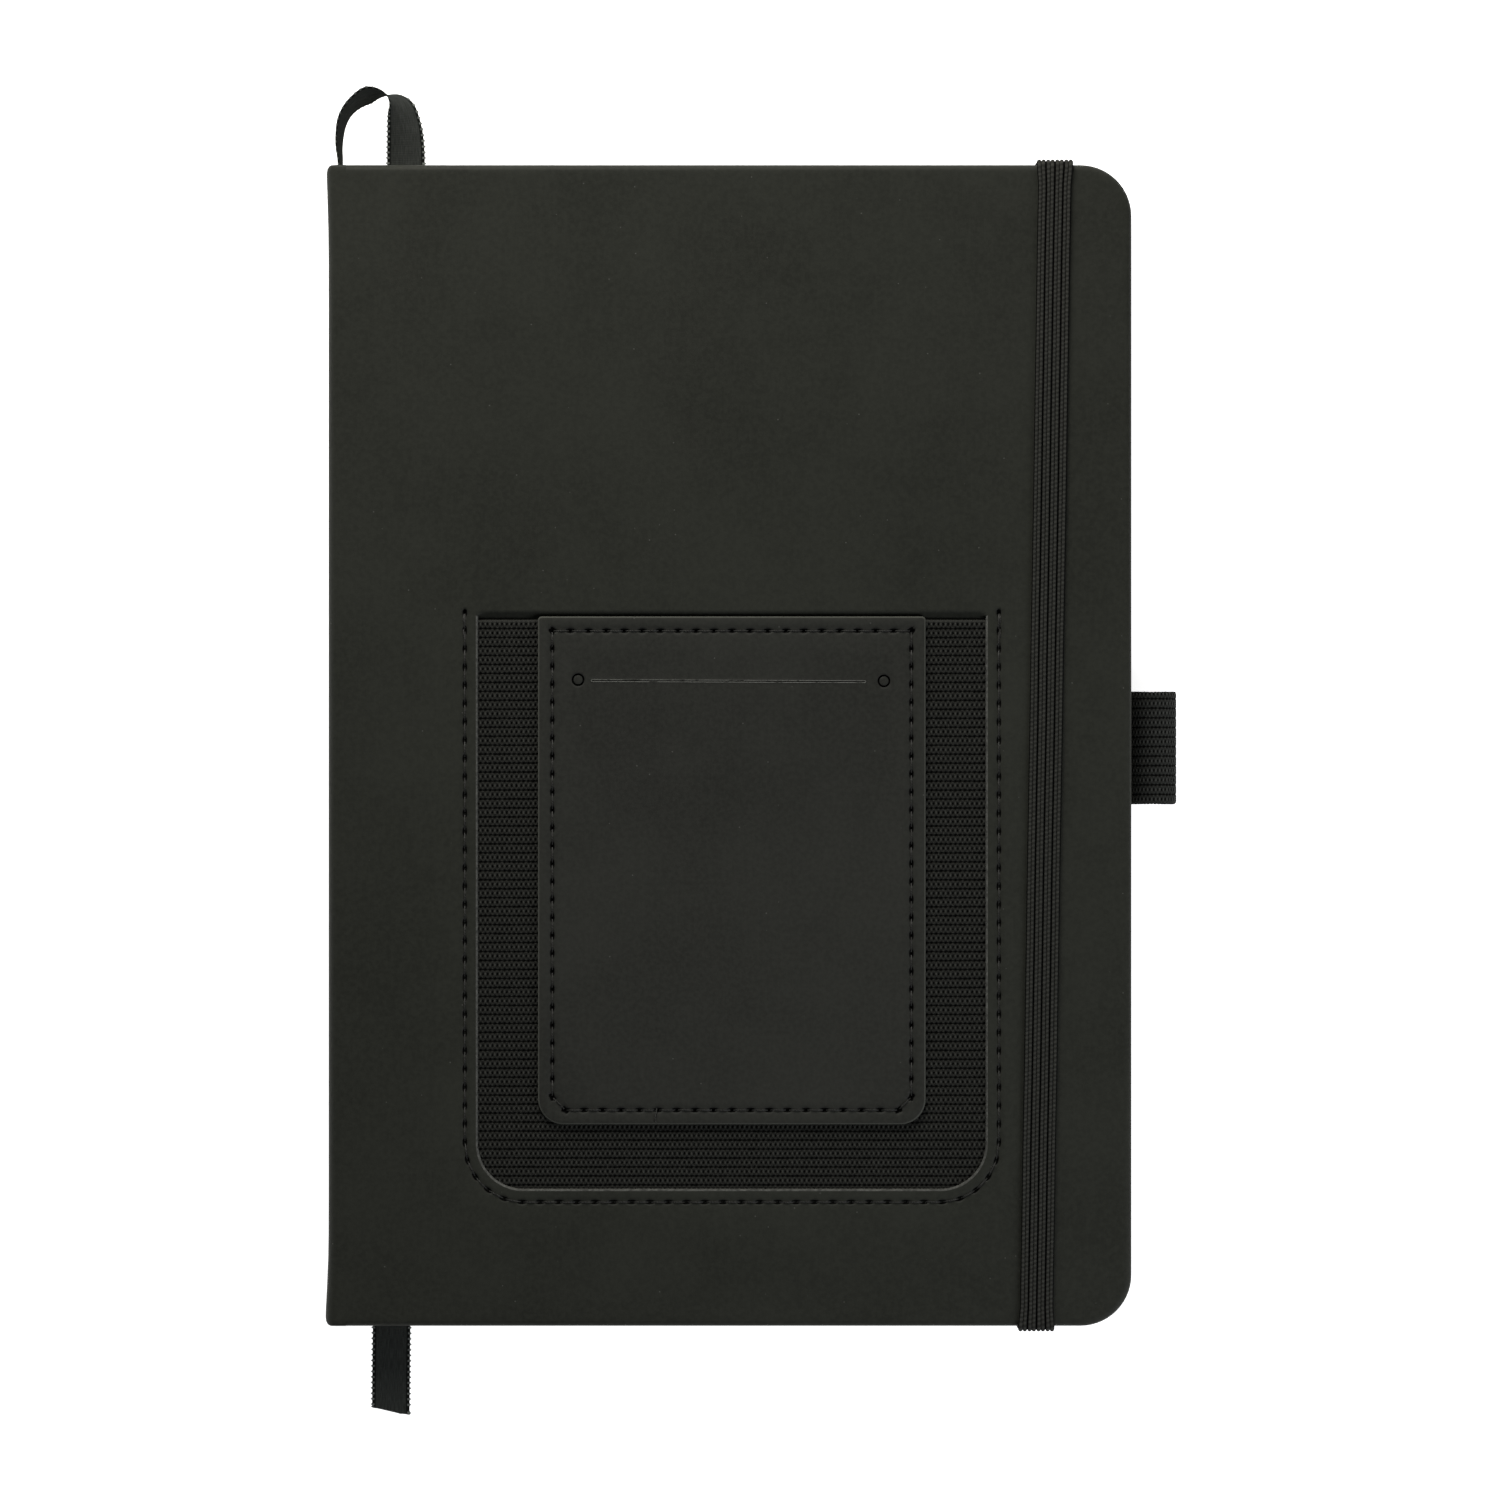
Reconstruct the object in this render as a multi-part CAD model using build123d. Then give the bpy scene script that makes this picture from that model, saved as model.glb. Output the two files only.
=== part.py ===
from build123d import *
import os
from math import atan2, cos, degrees, radians, sin, sqrt, tan

# A pocket notebook in a wrapped hard cover, lying closed on its back cover.
# Millimetres. +X points to the fore-edge, +Y to the head, +Z out of the front cover.
# The origin is the centre of the back cover's outer face.

# ---- Driving dimensions -----------------------------------------------------------------
COVER_WIDTH = 145.0          # spine to fore-edge
COVER_HEIGHT = 209.6         # tail to head
CORNER_RADIUS = 9.2          # the covers' two fore-edge corners
SPINE_ROUND = 2.0            # outside radius where the skin turns from a cover to the spine

SKIN = 0.7                   # imitation leather
BOARD = 1.9                  # greyboard in each cover
LIP_WIDTH = 14.0             # skin turned in over the board's edges
LIP = 0.35                   # its thickness once skived and pressed
PASTEDOWN = 0.15             # paper glued over a board's inner face
PASTEDOWN_INSET = 3.0        # strip of turned-in skin left showing round it
EDGE_ROUND = 0.55            # the skin's outside edge
JOINT_GAP = 3.2              # from the spine's outer face to a board
SPINE_CARD = 0.9             # stiffener in the spine
SPINE_CARD_INSET = 0.3       # from the end of the rounded corner to the card

SQUARE = 3.2                 # the covers' overhang past the leaves
PAGE_CORNER = 8.0
BLOCK_SETBACK = 2.6          # from the spine's outer face to the folds of the signatures
LEAF = 0.1075
LEAVES_PER_SIGNATURE = 8
SIGNATURES_PER_HALF = 5
FLYLEAF = 0.13
FOLD_ROUND = 0.4             # rounding of a signature's folded edge
COVER_CLEARANCE = 0.24       # between the front flyleaf and the front cover
RIBBON_GAP = 0.4             # between the two halves of the block, where the ribbon lies
PIVOT_LIFT = 0.1             # the leaves' hinge line above the middle of that gap
PIVOT_SETBACK = 0.6          # and behind the folds

THREAD = 0.25                # sewing thread over the folds
THREAD_STATIONS = 6
THREAD_MARGIN = 21.6         # from the leaves' head and tail to the nearest station
LINING = 0.15                # gauze glued over the sewn folds
LINING_MARGIN = 6.6          # from its ends to the leaves' head and tail

RIBBON_WIDTH = 6.8
RIBBON = 0.25
RIBBON_TAIL = 15.4           # how far it hangs out at the tail
RIBBON_CUT = 8.0             # slant of its cut end, in degrees

POCKET_X = 0.35              # middle of the pocket, from the middle of the cover
WINDOW_WIDTH = 91.6          # opening in the skin through which the elastic shows
WINDOW_HEIGHT = 103.6
WINDOW_MARGIN = 24.8         # from the cover's tail to the window
WINDOW_RADIUS = 8.2
SEAM_INSET = 2.4             # from the window's edge to its row of stitches
SEAM_RISE = 1.6              # the seam starts this far above the window
HEM = 4.0                    # elastic sewn in behind the skin
ELASTIC = 0.7
ELASTIC_DROP = 0.9           # the elastic's hem below the window's top
TONGUE = 0.4                 # skin cut free inside the window, pushed down behind the elastic
TONGUE_CLEARANCE = 0.1       # between it and the elastic
MOUTH = 2.0                  # length of the slope on which it leaves the cover's face
FIT = 0.2                    # all round, where a sheet lies in a recess

PANEL_WIDTH = 70.0           # card pocket on the elastic
PANEL_GAP = 0.3              # below the window's top
PANEL_RISE = 11.6            # above the window's bottom
PANEL_RADIUS = 4.6
PANEL = 0.9
PANEL_SEAM = 2.6             # from the panel's edge to its stitches
SLIT_LENGTH = 54.9           # between the centres of the two punched ends
SLIT_DROP = 11.6             # below the panel's top
SLIT = 0.3
PUNCH_RADIUS = 1.1

STITCH_PITCH = 3.3
STITCH_LENGTH = 2.3
STITCH_WIDTH = 0.6
STITCH = 0.25

BAND_WIDTH = 6.0             # closure elastic
BAND = 0.9
BAND_HEAD_MARGIN = 13.85     # from the fore-edge to its middle, at the head
BAND_TAIL_MARGIN = 17.2      # and at the tail
BAND_TUCK = 14.0             # length glued in under the back pastedown
BAND_SIDE_GAP = 0.1
BAND_TOP_GAP = 0.05

LOOP_WIDTH = 20.3            # pen loop
LOOP = 0.9
LOOP_BORE = 3.5              # inside radius
LOOP_Y = -0.45
LOOP_GAP = 0.18              # from the back cover's inner corner to the ring
LOOP_TAIL = 1.2              # its two ends pressed flat together
LOOP_TUCK = 14.0

# ---- Places worked out from them --------------------------------------------------------
SPINE_X = -COVER_WIDTH / 2
FORE_X = COVER_WIDTH / 2
HEAD_Y = COVER_HEIGHT / 2
COVER = SKIN + BOARD + PASTEDOWN
SIGNATURE = LEAF * LEAVES_PER_SIGNATURE
HALF_BLOCK = SIGNATURE * SIGNATURES_PER_HALF + FLYLEAF
THICKNESS = 2 * COVER + 2 * HALF_BLOCK + RIBBON_GAP + COVER_CLEARANCE

BOARD_X = SPINE_X + JOINT_GAP
BLOCK_X = SPINE_X + BLOCK_SETBACK
REAR_Z = COVER
REAR_TOP = REAR_Z + HALF_BLOCK
FRONT_Z = REAR_TOP + RIBBON_GAP
FRONT_TOP = FRONT_Z + HALF_BLOCK
RIBBON_Z = (REAR_TOP + FRONT_Z) / 2
PAGE_X = FORE_X - SQUARE
PAGE_HEIGHT = COVER_HEIGHT - 2 * SQUARE
THREAD_SPREAD = PAGE_HEIGHT - 2 * THREAD_MARGIN
LINING_HEIGHT = PAGE_HEIGHT - 2 * LINING_MARGIN
PIVOT_X = BLOCK_X - PIVOT_SETBACK
PIVOT_Z = RIBBON_Z + PIVOT_LIFT
# Each cover turns about the outermost line of its rounded corner.
CORNER_DEPTH = SPINE_ROUND * (1 - cos(radians(45)))
JOINT_X = SPINE_X + CORNER_DEPTH

SKIN_UNDER = THICKNESS - SKIN                     # underside of the front skin
ELASTIC_Z = SKIN_UNDER - ELASTIC
POCKET_FLOOR = ELASTIC_Z - TONGUE_CLEARANCE - TONGUE
WINDOW_BOTTOM = WINDOW_MARGIN - HEAD_Y
WINDOW_TOP = WINDOW_BOTTOM + WINDOW_HEIGHT
PANEL_Z = SKIN_UNDER
PANEL_TOP = WINDOW_TOP - PANEL_GAP
PANEL_BOTTOM = WINDOW_BOTTOM + PANEL_RISE
SLIT_Y = PANEL_TOP - SLIT_DROP
ELASTIC_TOP = WINDOW_TOP - ELASTIC_DROP
PANEL_LEFT = POCKET_X - PANEL_WIDTH / 2
PANEL_RIGHT = POCKET_X + PANEL_WIDTH / 2

BAND_X_HEAD = FORE_X - BAND_HEAD_MARGIN
BAND_X_TAIL = FORE_X - BAND_TAIL_MARGIN
BAND_RUN = BAND_X_HEAD - BAND_X_TAIL
BAND_SLANT = degrees(atan2(BAND_RUN, COVER_HEIGHT))
BAND_FRAME = Pos((BAND_X_HEAD + BAND_X_TAIL) / 2, 0, 0) * Rot(0, 0, -BAND_SLANT)
BAND_EDGE = HEAD_Y / cos(radians(BAND_SLANT)) + BAND_SIDE_GAP
ANCHOR_Z = SKIN + BOARD - BAND

LOOP_OUTER = LOOP_BORE + LOOP
LOOP_Z = LOOP_OUTER + FIT
LOOP_X = FORE_X + LOOP_GAP + sqrt(LOOP_OUTER**2 - (LOOP_Z - SKIN - BOARD) ** 2)
LOOP_TAIL_Z = SKIN + BOARD - LOOP_TAIL

# The ribbon's free route in plan, from the glue on the spine, out at the head and back down
# into the block, measured from the spine's head corner. In the loop it stands on edge, and
# between the leaves it lies flat.
RIBBON_BACK = BLOCK_SETBACK - THREAD - LINING - 0.05 - RIBBON / 2
RIBBON_HEAD = 13.75
RIBBON_TAIL_END = 11.0
RIBBON_ROUTE = [
    (RIBBON_BACK, -12.8),
    (RIBBON_BACK, 0.7),
    (1.3, 7.3),
    (3.9, 12.7),
    (8.6, 14.7),
    (12.4, 11.6),
    (RIBBON_HEAD, 4.8),
    (RIBBON_HEAD, -0.8),
]


# ---- Helpers ----------------------------------------------------------------------------
def box(low, high):
    """A block between two corners."""
    size = [b - a for a, b in zip(low, high)]
    return Pos(*low) * Box(*size, align=(Align.MIN, Align.MIN, Align.MIN))


def sheet(x_low, x_high, height, radius, z, thickness):
    """A flat sheet with its two fore-edge corners rounded."""
    blank = box((x_low, -height / 2, z), (x_high, height / 2, z + thickness))
    return fillet(blank.edges().filter_by(Axis.Z).sort_by(Axis.X)[-2:], radius)


def pocket_sheet(width, y_low, y_high, radius, z, thickness):
    """A flat sheet centred on the pocket, with its two tail corners rounded."""
    blank = box(
        (POCKET_X - width / 2, y_low, z), (POCKET_X + width / 2, y_high, z + thickness)
    )
    return fillet(blank.edges().filter_by(Axis.Z).sort_by(Axis.Y)[:2], radius)


def polygon(points, z, thickness):
    """A flat plate with straight sides."""
    return extrude(Pos(0, 0, z) * make_face(Polyline(*points, close=True)), thickness)


def turned_over(part):
    """The same part of the other cover: mirrored through the middle of the thickness."""
    return mirror(part, Plane.XY.offset(THICKNESS / 2))


def across(profile, height, y=0.0):
    """A profile drawn in X and Z, made as long as the given height."""
    return Pos(0, y, 0) * extrude(Plane.XZ * profile, height / 2, both=True)


# ---- Covers -----------------------------------------------------------------------------
def corner_wedge(low_angle):
    """The skin's rounded corner by the back cover, over 45 degrees from the given angle."""
    ring = Circle(SPINE_ROUND) - Circle(SPINE_ROUND - SKIN)
    reach = 3 * SPINE_ROUND
    ends = [radians(low_angle), radians(low_angle + 45)]
    corners = [(0, 0)] + [(reach * cos(a), reach * sin(a)) for a in ends]
    wedge = make_face(Polyline(*corners, close=True))
    return across(
        Pos(SPINE_X + SPINE_ROUND, SPINE_ROUND) * (ring & wedge), COVER_HEIGHT
    )


def board_blank():
    return sheet(
        BOARD_X,
        FORE_X - SKIN,
        COVER_HEIGHT - 2 * SKIN,
        CORNER_RADIUS - SKIN,
        SKIN,
        BOARD,
    )


def turned_lips():
    """The skin's turned-in lips, sunk flush into the board's inner face."""
    z = SKIN + BOARD - LIP
    inner = sheet(
        BOARD_X,
        FORE_X - SKIN - LIP_WIDTH,
        COVER_HEIGHT - 2 * (SKIN + LIP_WIDTH),
        CORNER_RADIUS,
        z,
        LIP,
    )
    outer = sheet(
        BOARD_X,
        FORE_X - SKIN,
        COVER_HEIGHT - 2 * SKIN,
        CORNER_RADIUS - SKIN,
        z,
        LIP,
    )
    return outer - inner


def cover_skin():
    """Skin of the back cover: outer face, turned edges, lips and its half of the joint."""
    body = sheet(
        BOARD_X, FORE_X, COVER_HEIGHT, CORNER_RADIUS, 0, SKIN + BOARD
    ) - board_blank()
    flap = box(
        (SPINE_X + SPINE_ROUND, -HEAD_Y, 0), (BOARD_X, HEAD_Y, SKIN)
    )
    skin = body + turned_lips() + flap + corner_wedge(225)
    outside = skin.edges().group_by(Axis.Z)[0].filter_by(
        lambda e: e.center().X > SPINE_X + 2 * SPINE_ROUND
    )
    return fillet(outside, EDGE_ROUND)


def cover_board():
    return board_blank() - turned_lips()


def cover_pastedown():
    return sheet(
        BOARD_X,
        FORE_X - PASTEDOWN_INSET,
        COVER_HEIGHT - 2 * PASTEDOWN_INSET,
        PAGE_CORNER,
        SKIN + BOARD,
        PASTEDOWN,
    )


# ---- Spine ------------------------------------------------------------------------------
def spine_card():
    inset = SPINE_ROUND + SPINE_CARD_INSET
    return box(
        (SPINE_X + SKIN, SKIN - HEAD_Y, inset),
        (SPINE_X + SKIN + SPINE_CARD, HEAD_Y - SKIN, THICKNESS - inset),
    )


def spine_skin():
    """Skin over the spine, its share of both rounded joints and the turned head and tail."""
    flat = box(
        (SPINE_X, -HEAD_Y, SPINE_ROUND),
        (SPINE_X + SKIN, HEAD_Y, THICKNESS - SPINE_ROUND),
    )
    lower = corner_wedge(180)
    inset = SPINE_ROUND + SPINE_CARD_INSET
    head = box(
        (SPINE_X + SKIN, HEAD_Y - SKIN, inset),
        (SPINE_X + SKIN + SPINE_CARD, HEAD_Y, THICKNESS - inset),
    )
    return flat + lower + turned_over(lower) + head + mirror(head, Plane.XZ)


# ---- Page block -------------------------------------------------------------------------
def signature(z):
    """Folded sheets, rounded at the fold."""
    blank = sheet(BLOCK_X, PAGE_X, PAGE_HEIGHT, PAGE_CORNER, z, SIGNATURE)
    fold = blank.faces().sort_by(Axis.X)[0].edges().filter_by(Axis.Y)
    return fillet(fold, FOLD_ROUND)


def flyleaf(z):
    return sheet(BLOCK_X, PAGE_X, PAGE_HEIGHT, PAGE_CORNER, z, FLYLEAF)


def sewing(z_low, z_high):
    """Sewing thread over the folds, at evenly spaced stations."""
    step = THREAD_SPREAD / (THREAD_STATIONS - 1)
    stations = [-THREAD_SPREAD / 2 + i * step for i in range(THREAD_STATIONS)]
    return [
        box(
            (BLOCK_X - THREAD, y - THREAD, z_low + SIGNATURE / 2),
            (BLOCK_X, y + THREAD, z_high - SIGNATURE / 2),
        )
        for y in stations
    ]


def spine_lining(z_low, z_high):
    return box(
        (BLOCK_X - THREAD - LINING, -LINING_HEIGHT / 2, z_low + LINING),
        (BLOCK_X - THREAD, LINING_HEIGHT / 2, z_high - LINING),
    )


# ---- Phone pocket -----------------------------------------------------------------------
def window_cut():
    """The opening in the front skin, up to the top of the mouth's slope."""
    return pocket_sheet(
        WINDOW_WIDTH,
        WINDOW_BOTTOM,
        WINDOW_TOP + MOUTH,
        WINDOW_RADIUS,
        SKIN_UNDER - 1,
        SKIN + 2,
    )


def tongue():
    """The skin's tongue: down the mouth's slope, then flat behind the elastic."""
    side = [
        (WINDOW_TOP + MOUTH, THICKNESS),
        (WINDOW_TOP, POCKET_FLOOR + TONGUE),
        (WINDOW_BOTTOM, POCKET_FLOOR + TONGUE),
        (WINDOW_BOTTOM, POCKET_FLOOR),
        (WINDOW_TOP, POCKET_FLOOR),
        (WINDOW_TOP + MOUTH, SKIN_UNDER),
    ]
    profile = make_face(Polyline(*side, close=True))
    strip = Pos(POCKET_X, 0, 0) * extrude(
        Plane.YZ * profile, WINDOW_WIDTH / 2, both=True
    )
    return strip & pocket_sheet(
        WINDOW_WIDTH,
        WINDOW_BOTTOM,
        WINDOW_TOP + MOUTH,
        WINDOW_RADIUS,
        POCKET_FLOOR,
        THICKNESS,
    )


def mouth_recess():
    """Room in the board for the mouth's slope."""
    half = WINDOW_WIDTH / 2 + FIT
    return box(
        (POCKET_X - half, ELASTIC_TOP, POCKET_FLOOR),
        (POCKET_X + half, WINDOW_TOP + MOUTH, SKIN_UNDER),
    )


def pocket_outline(grow, z, thickness):
    """The elastic's outline: the window and a hem, grown all round."""
    return pocket_sheet(
        WINDOW_WIDTH + 2 * (HEM + grow),
        WINDOW_BOTTOM - HEM - grow,
        ELASTIC_TOP + grow,
        WINDOW_RADIUS + HEM + grow,
        z,
        thickness,
    )


def elastic_sides():
    """The three stretching strips round the panel, cut apart along the corners' mitres."""
    whole = pocket_outline(0, ELASTIC_Z, ELASTIC)
    seam_x = WINDOW_WIDTH / 2 + SEAM_INSET
    seam_y = WINDOW_BOTTOM - SEAM_INSET
    rise = (PANEL_BOTTOM - seam_y) / (seam_x - PANEL_WIDTH / 2)
    reach = seam_x + 3 * HEM
    low = PANEL_BOTTOM - rise * (reach - PANEL_WIDTH / 2)
    strips = {}
    for name, way in (("left", -1), ("right", 1)):
        inner, outer = POCKET_X + way * PANEL_WIDTH / 2, POCKET_X + way * reach
        shape = [
            (inner, ELASTIC_TOP),
            (inner, PANEL_BOTTOM),
            (outer, low),
            (outer, ELASTIC_TOP),
        ]
        strips[name] = whole & polygon(shape, ELASTIC_Z, ELASTIC)
    shape = [
        (POCKET_X - reach, low),
        (PANEL_LEFT, PANEL_BOTTOM),
        (PANEL_RIGHT, PANEL_BOTTOM),
        (POCKET_X + reach, low),
    ]
    strips["bottom"] = whole & polygon(shape, ELASTIC_Z, ELASTIC)
    return strips


def elastic_behind_panel():
    return box(
        (PANEL_LEFT, PANEL_BOTTOM, ELASTIC_Z),
        (PANEL_RIGHT, ELASTIC_TOP, ELASTIC_Z + ELASTIC),
    )


def card_panel():
    """Card pocket with a slit between two punched ends."""
    blank = pocket_sheet(
        PANEL_WIDTH, PANEL_BOTTOM, PANEL_TOP, PANEL_RADIUS, PANEL_Z, PANEL
    )
    ends = [POCKET_X - SLIT_LENGTH / 2, POCKET_X + SLIT_LENGTH / 2]
    cut = box(
        (ends[0], SLIT_Y - SLIT / 2, PANEL_Z), (ends[1], SLIT_Y + SLIT / 2, PANEL_Z + PANEL)
    )
    for x in ends:
        cut += Pos(x, SLIT_Y, PANEL_Z + PANEL / 2) * Cylinder(PUNCH_RADIUS, PANEL)
    return blank - cut


def stitches(path, z):
    """Separate stitches lying along a path."""
    count = round(path.length / STITCH_PITCH)
    made = []
    for i in range(count):
        u = (i + 0.5) / count
        place = Plane(
            origin=path.position_at(u) + Vector(0, 0, z),
            x_dir=path.tangent_at(u),
            z_dir=(0, 0, 1),
        )
        made.append(extrude(place * SlotOverall(STITCH_LENGTH, STITCH_WIDTH), STITCH))
    return made


def window_stitches():
    half = WINDOW_WIDTH / 2 + SEAM_INSET
    low, high = WINDOW_BOTTOM - SEAM_INSET, WINDOW_TOP + SEAM_RISE
    path = FilletPolyline(
        (POCKET_X - half, high),
        (POCKET_X - half, low),
        (POCKET_X + half, low),
        (POCKET_X + half, high),
        radius=WINDOW_RADIUS + SEAM_INSET,
    )
    return stitches(path, THICKNESS)


def panel_stitches():
    left, right = PANEL_LEFT + PANEL_SEAM, PANEL_RIGHT - PANEL_SEAM
    low, high = PANEL_BOTTOM + PANEL_SEAM, PANEL_TOP - PANEL_SEAM
    corners = [(left, low), (right, low), (right, high), (left, high)]
    made = []
    for a, b in zip(corners, corners[1:] + corners[:1]):
        made += stitches(Line(a, b), PANEL_Z + PANEL)
    return made


# ---- Pen loop and closure band ----------------------------------------------------------
def pen_loop(grow=0.0):
    """Elastic ring with its two ends pressed together and tucked in under the pastedown."""
    tail = box(
        (FORE_X - LOOP_TUCK - grow, LOOP_Y - LOOP_WIDTH / 2 - grow, LOOP_TAIL_Z),
        (LOOP_X, LOOP_Y + LOOP_WIDTH / 2 + grow, LOOP_TAIL_Z + LOOP_TAIL),
    )
    if grow:
        return tail
    ring = across(Pos(LOOP_X, LOOP_Z) * Circle(LOOP_OUTER), LOOP_WIDTH, LOOP_Y)
    bore = across(Pos(LOOP_X, LOOP_Z) * Circle(LOOP_BORE), LOOP_WIDTH, LOOP_Y)
    return ring + tail - bore


def band_anchor(way, grow=0.0):
    """One end of the band, glued in under the back pastedown."""
    inner = BAND_EDGE - BAND_SIDE_GAP - BAND_TUCK
    part = box(
        (-BAND_WIDTH / 2 - grow, inner - grow, ANCHOR_Z),
        (BAND_WIDTH / 2 + grow, BAND_EDGE, ANCHOR_Z + BAND),
    )
    return BAND_FRAME * (part if way > 0 else mirror(part, Plane.XZ))


def band_wrap(way):
    """The band's rise past the covers' edge."""
    part = box(
        (-BAND_WIDTH / 2, BAND_EDGE, ANCHOR_Z),
        (BAND_WIDTH / 2, BAND_EDGE + BAND, THICKNESS + BAND_TOP_GAP),
    )
    return BAND_FRAME * (part if way > 0 else mirror(part, Plane.XZ))


def band_run():
    z = THICKNESS + BAND_TOP_GAP
    end = BAND_EDGE + BAND
    run = box((-BAND_WIDTH / 2, -end, z), (BAND_WIDTH / 2, end, z + BAND))
    ends = run.edges().filter_by(Axis.X).group_by(Axis.Z)[-1]
    return BAND_FRAME * fillet(ends, BAND * 0.6)


# ---- Ribbon -----------------------------------------------------------------------------
def turn_radii(points):
    """For each inner point, 0.45 of the shorter run over the tangent of half the turn."""
    radii = []
    for a, b, c in zip(points, points[1:], points[2:]):
        before = Vector(b[0] - a[0], b[1] - a[1])
        after = Vector(c[0] - b[0], c[1] - b[1])
        half = radians(before.get_angle(after)) / 2
        radii.append(0.45 * min(before.length, after.length) / tan(half))
    return radii


def ribbon_loop():
    """The ribbon's loop at the head, standing on edge."""
    radii = turn_radii(RIBBON_ROUTE)
    path = Pos(SPINE_X, HEAD_Y) * FilletPolyline(*RIBBON_ROUTE, radius=radii)
    start = Plane(
        origin=path.position_at(0) + Vector(0, 0, RIBBON_Z),
        x_dir=(0, 0, 1),
        z_dir=path.tangent_at(0),
    )
    raised = Pos(0, 0, RIBBON_Z) * path
    loop = sweep(start * Rectangle(RIBBON_WIDTH, RIBBON), path=raised)
    print("ribbon loop radii", [round(r, 1) for r in radii])
    print("ribbon loop", round(path.length, 2), "mm, volume", round(loop.volume, 3))
    print("section times length", round(path.length * RIBBON_WIDTH * RIBBON, 3))
    return loop


def ribbon_strip():
    """The ribbon between the leaves, lying flat, and its cut end at the tail."""
    top, bottom = HEAD_Y + RIBBON_ROUTE[-1][1], -HEAD_Y - RIBBON_TAIL
    slant = RIBBON_WIDTH * sin(radians(RIBBON_CUT))
    half = RIBBON_WIDTH / 2
    head_x, tail_x = SPINE_X + RIBBON_HEAD, SPINE_X + RIBBON_TAIL_END
    shape = [
        (head_x - half, top),
        (head_x + half, top),
        (tail_x + half, bottom - slant / 2),
        (tail_x - half, bottom + slant / 2),
    ]
    return polygon(shape, RIBBON_Z - RIBBON / 2, RIBBON)


# ---- Assembly ---------------------------------------------------------------------------
def cover_parts():
    """Both covers, with the recesses that other pieces lie in."""
    loop_seat = pen_loop(FIT)
    band_seats = band_anchor(1, FIT) + band_anchor(-1, FIT)
    recess = pocket_outline(FIT, POCKET_FLOOR, SKIN_UNDER - POCKET_FLOOR)
    recess += mouth_recess()
    return {
        "back_board": cover_board() - loop_seat - band_seats,
        "back_cover_skin": cover_skin() - loop_seat - band_seats,
        "back_pastedown": cover_pastedown(),
        "front_board": turned_over(cover_board()) - recess,
        "front_cover_skin": turned_over(cover_skin()) - window_cut() + tongue(),
        "front_pastedown": turned_over(cover_pastedown()),
        "spine_card": spine_card(),
        "spine_skin": spine_skin(),
    }


def block_parts():
    parts = {"rear_flyleaf": flyleaf(REAR_Z), "front_flyleaf": flyleaf(FRONT_TOP - FLYLEAF)}
    for i in range(SIGNATURES_PER_HALF):
        rear = 2 * SIGNATURES_PER_HALF - i
        front = SIGNATURES_PER_HALF - i
        parts[f"signature_{rear:02d}"] = signature(REAR_Z + FLYLEAF + i * SIGNATURE)
        parts[f"signature_{front:02d}"] = signature(FRONT_Z + i * SIGNATURE)
    rear_low, front_high = REAR_Z + FLYLEAF, FRONT_TOP - FLYLEAF
    parts["rear_sewing_thread"] = Compound(children=sewing(rear_low, REAR_TOP))
    parts["front_sewing_thread"] = Compound(children=sewing(FRONT_Z, front_high))
    parts["rear_spine_lining"] = spine_lining(rear_low, REAR_TOP)
    parts["front_spine_lining"] = spine_lining(FRONT_Z, front_high)
    return parts


def pocket_parts():
    parts = {f"pocket_elastic_{side}": part for side, part in elastic_sides().items()}
    parts["pocket_elastic_back"] = elastic_behind_panel()
    parts["card_panel"] = card_panel()
    parts["window_stitching"] = Compound(children=window_stitches())
    parts["card_panel_stitching"] = Compound(children=panel_stitches())
    return parts


def trim_parts():
    return {
        "pen_loop": pen_loop(),
        "band_anchor_head": band_anchor(1),
        "band_anchor_tail": band_anchor(-1),
        "band_wrap_head": band_wrap(1),
        "band_wrap_tail": band_wrap(-1),
        "band_run": band_run(),
        "ribbon_loop": ribbon_loop(),
        "ribbon_strip": ribbon_strip(),
    }


os.makedirs("parts", exist_ok=True)
for group in (cover_parts, block_parts, pocket_parts, trim_parts):
    for name, part in group().items():
        export_step(part, f"parts/{name}.step")
print("thickness", round(THICKNESS, 3), "cover joint", round(JOINT_X, 4), round(CORNER_DEPTH, 4))
print("leaves' hinge line", round(PIVOT_X, 4), round(PIVOT_Z, 4))
print("pen loop centre", round(LOOP_X, 4), LOOP_Y, round(LOOP_Z, 4))
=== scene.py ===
from math import atan2, ceil, cos, exp, pi, radians, sin, sqrt, tau

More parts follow.
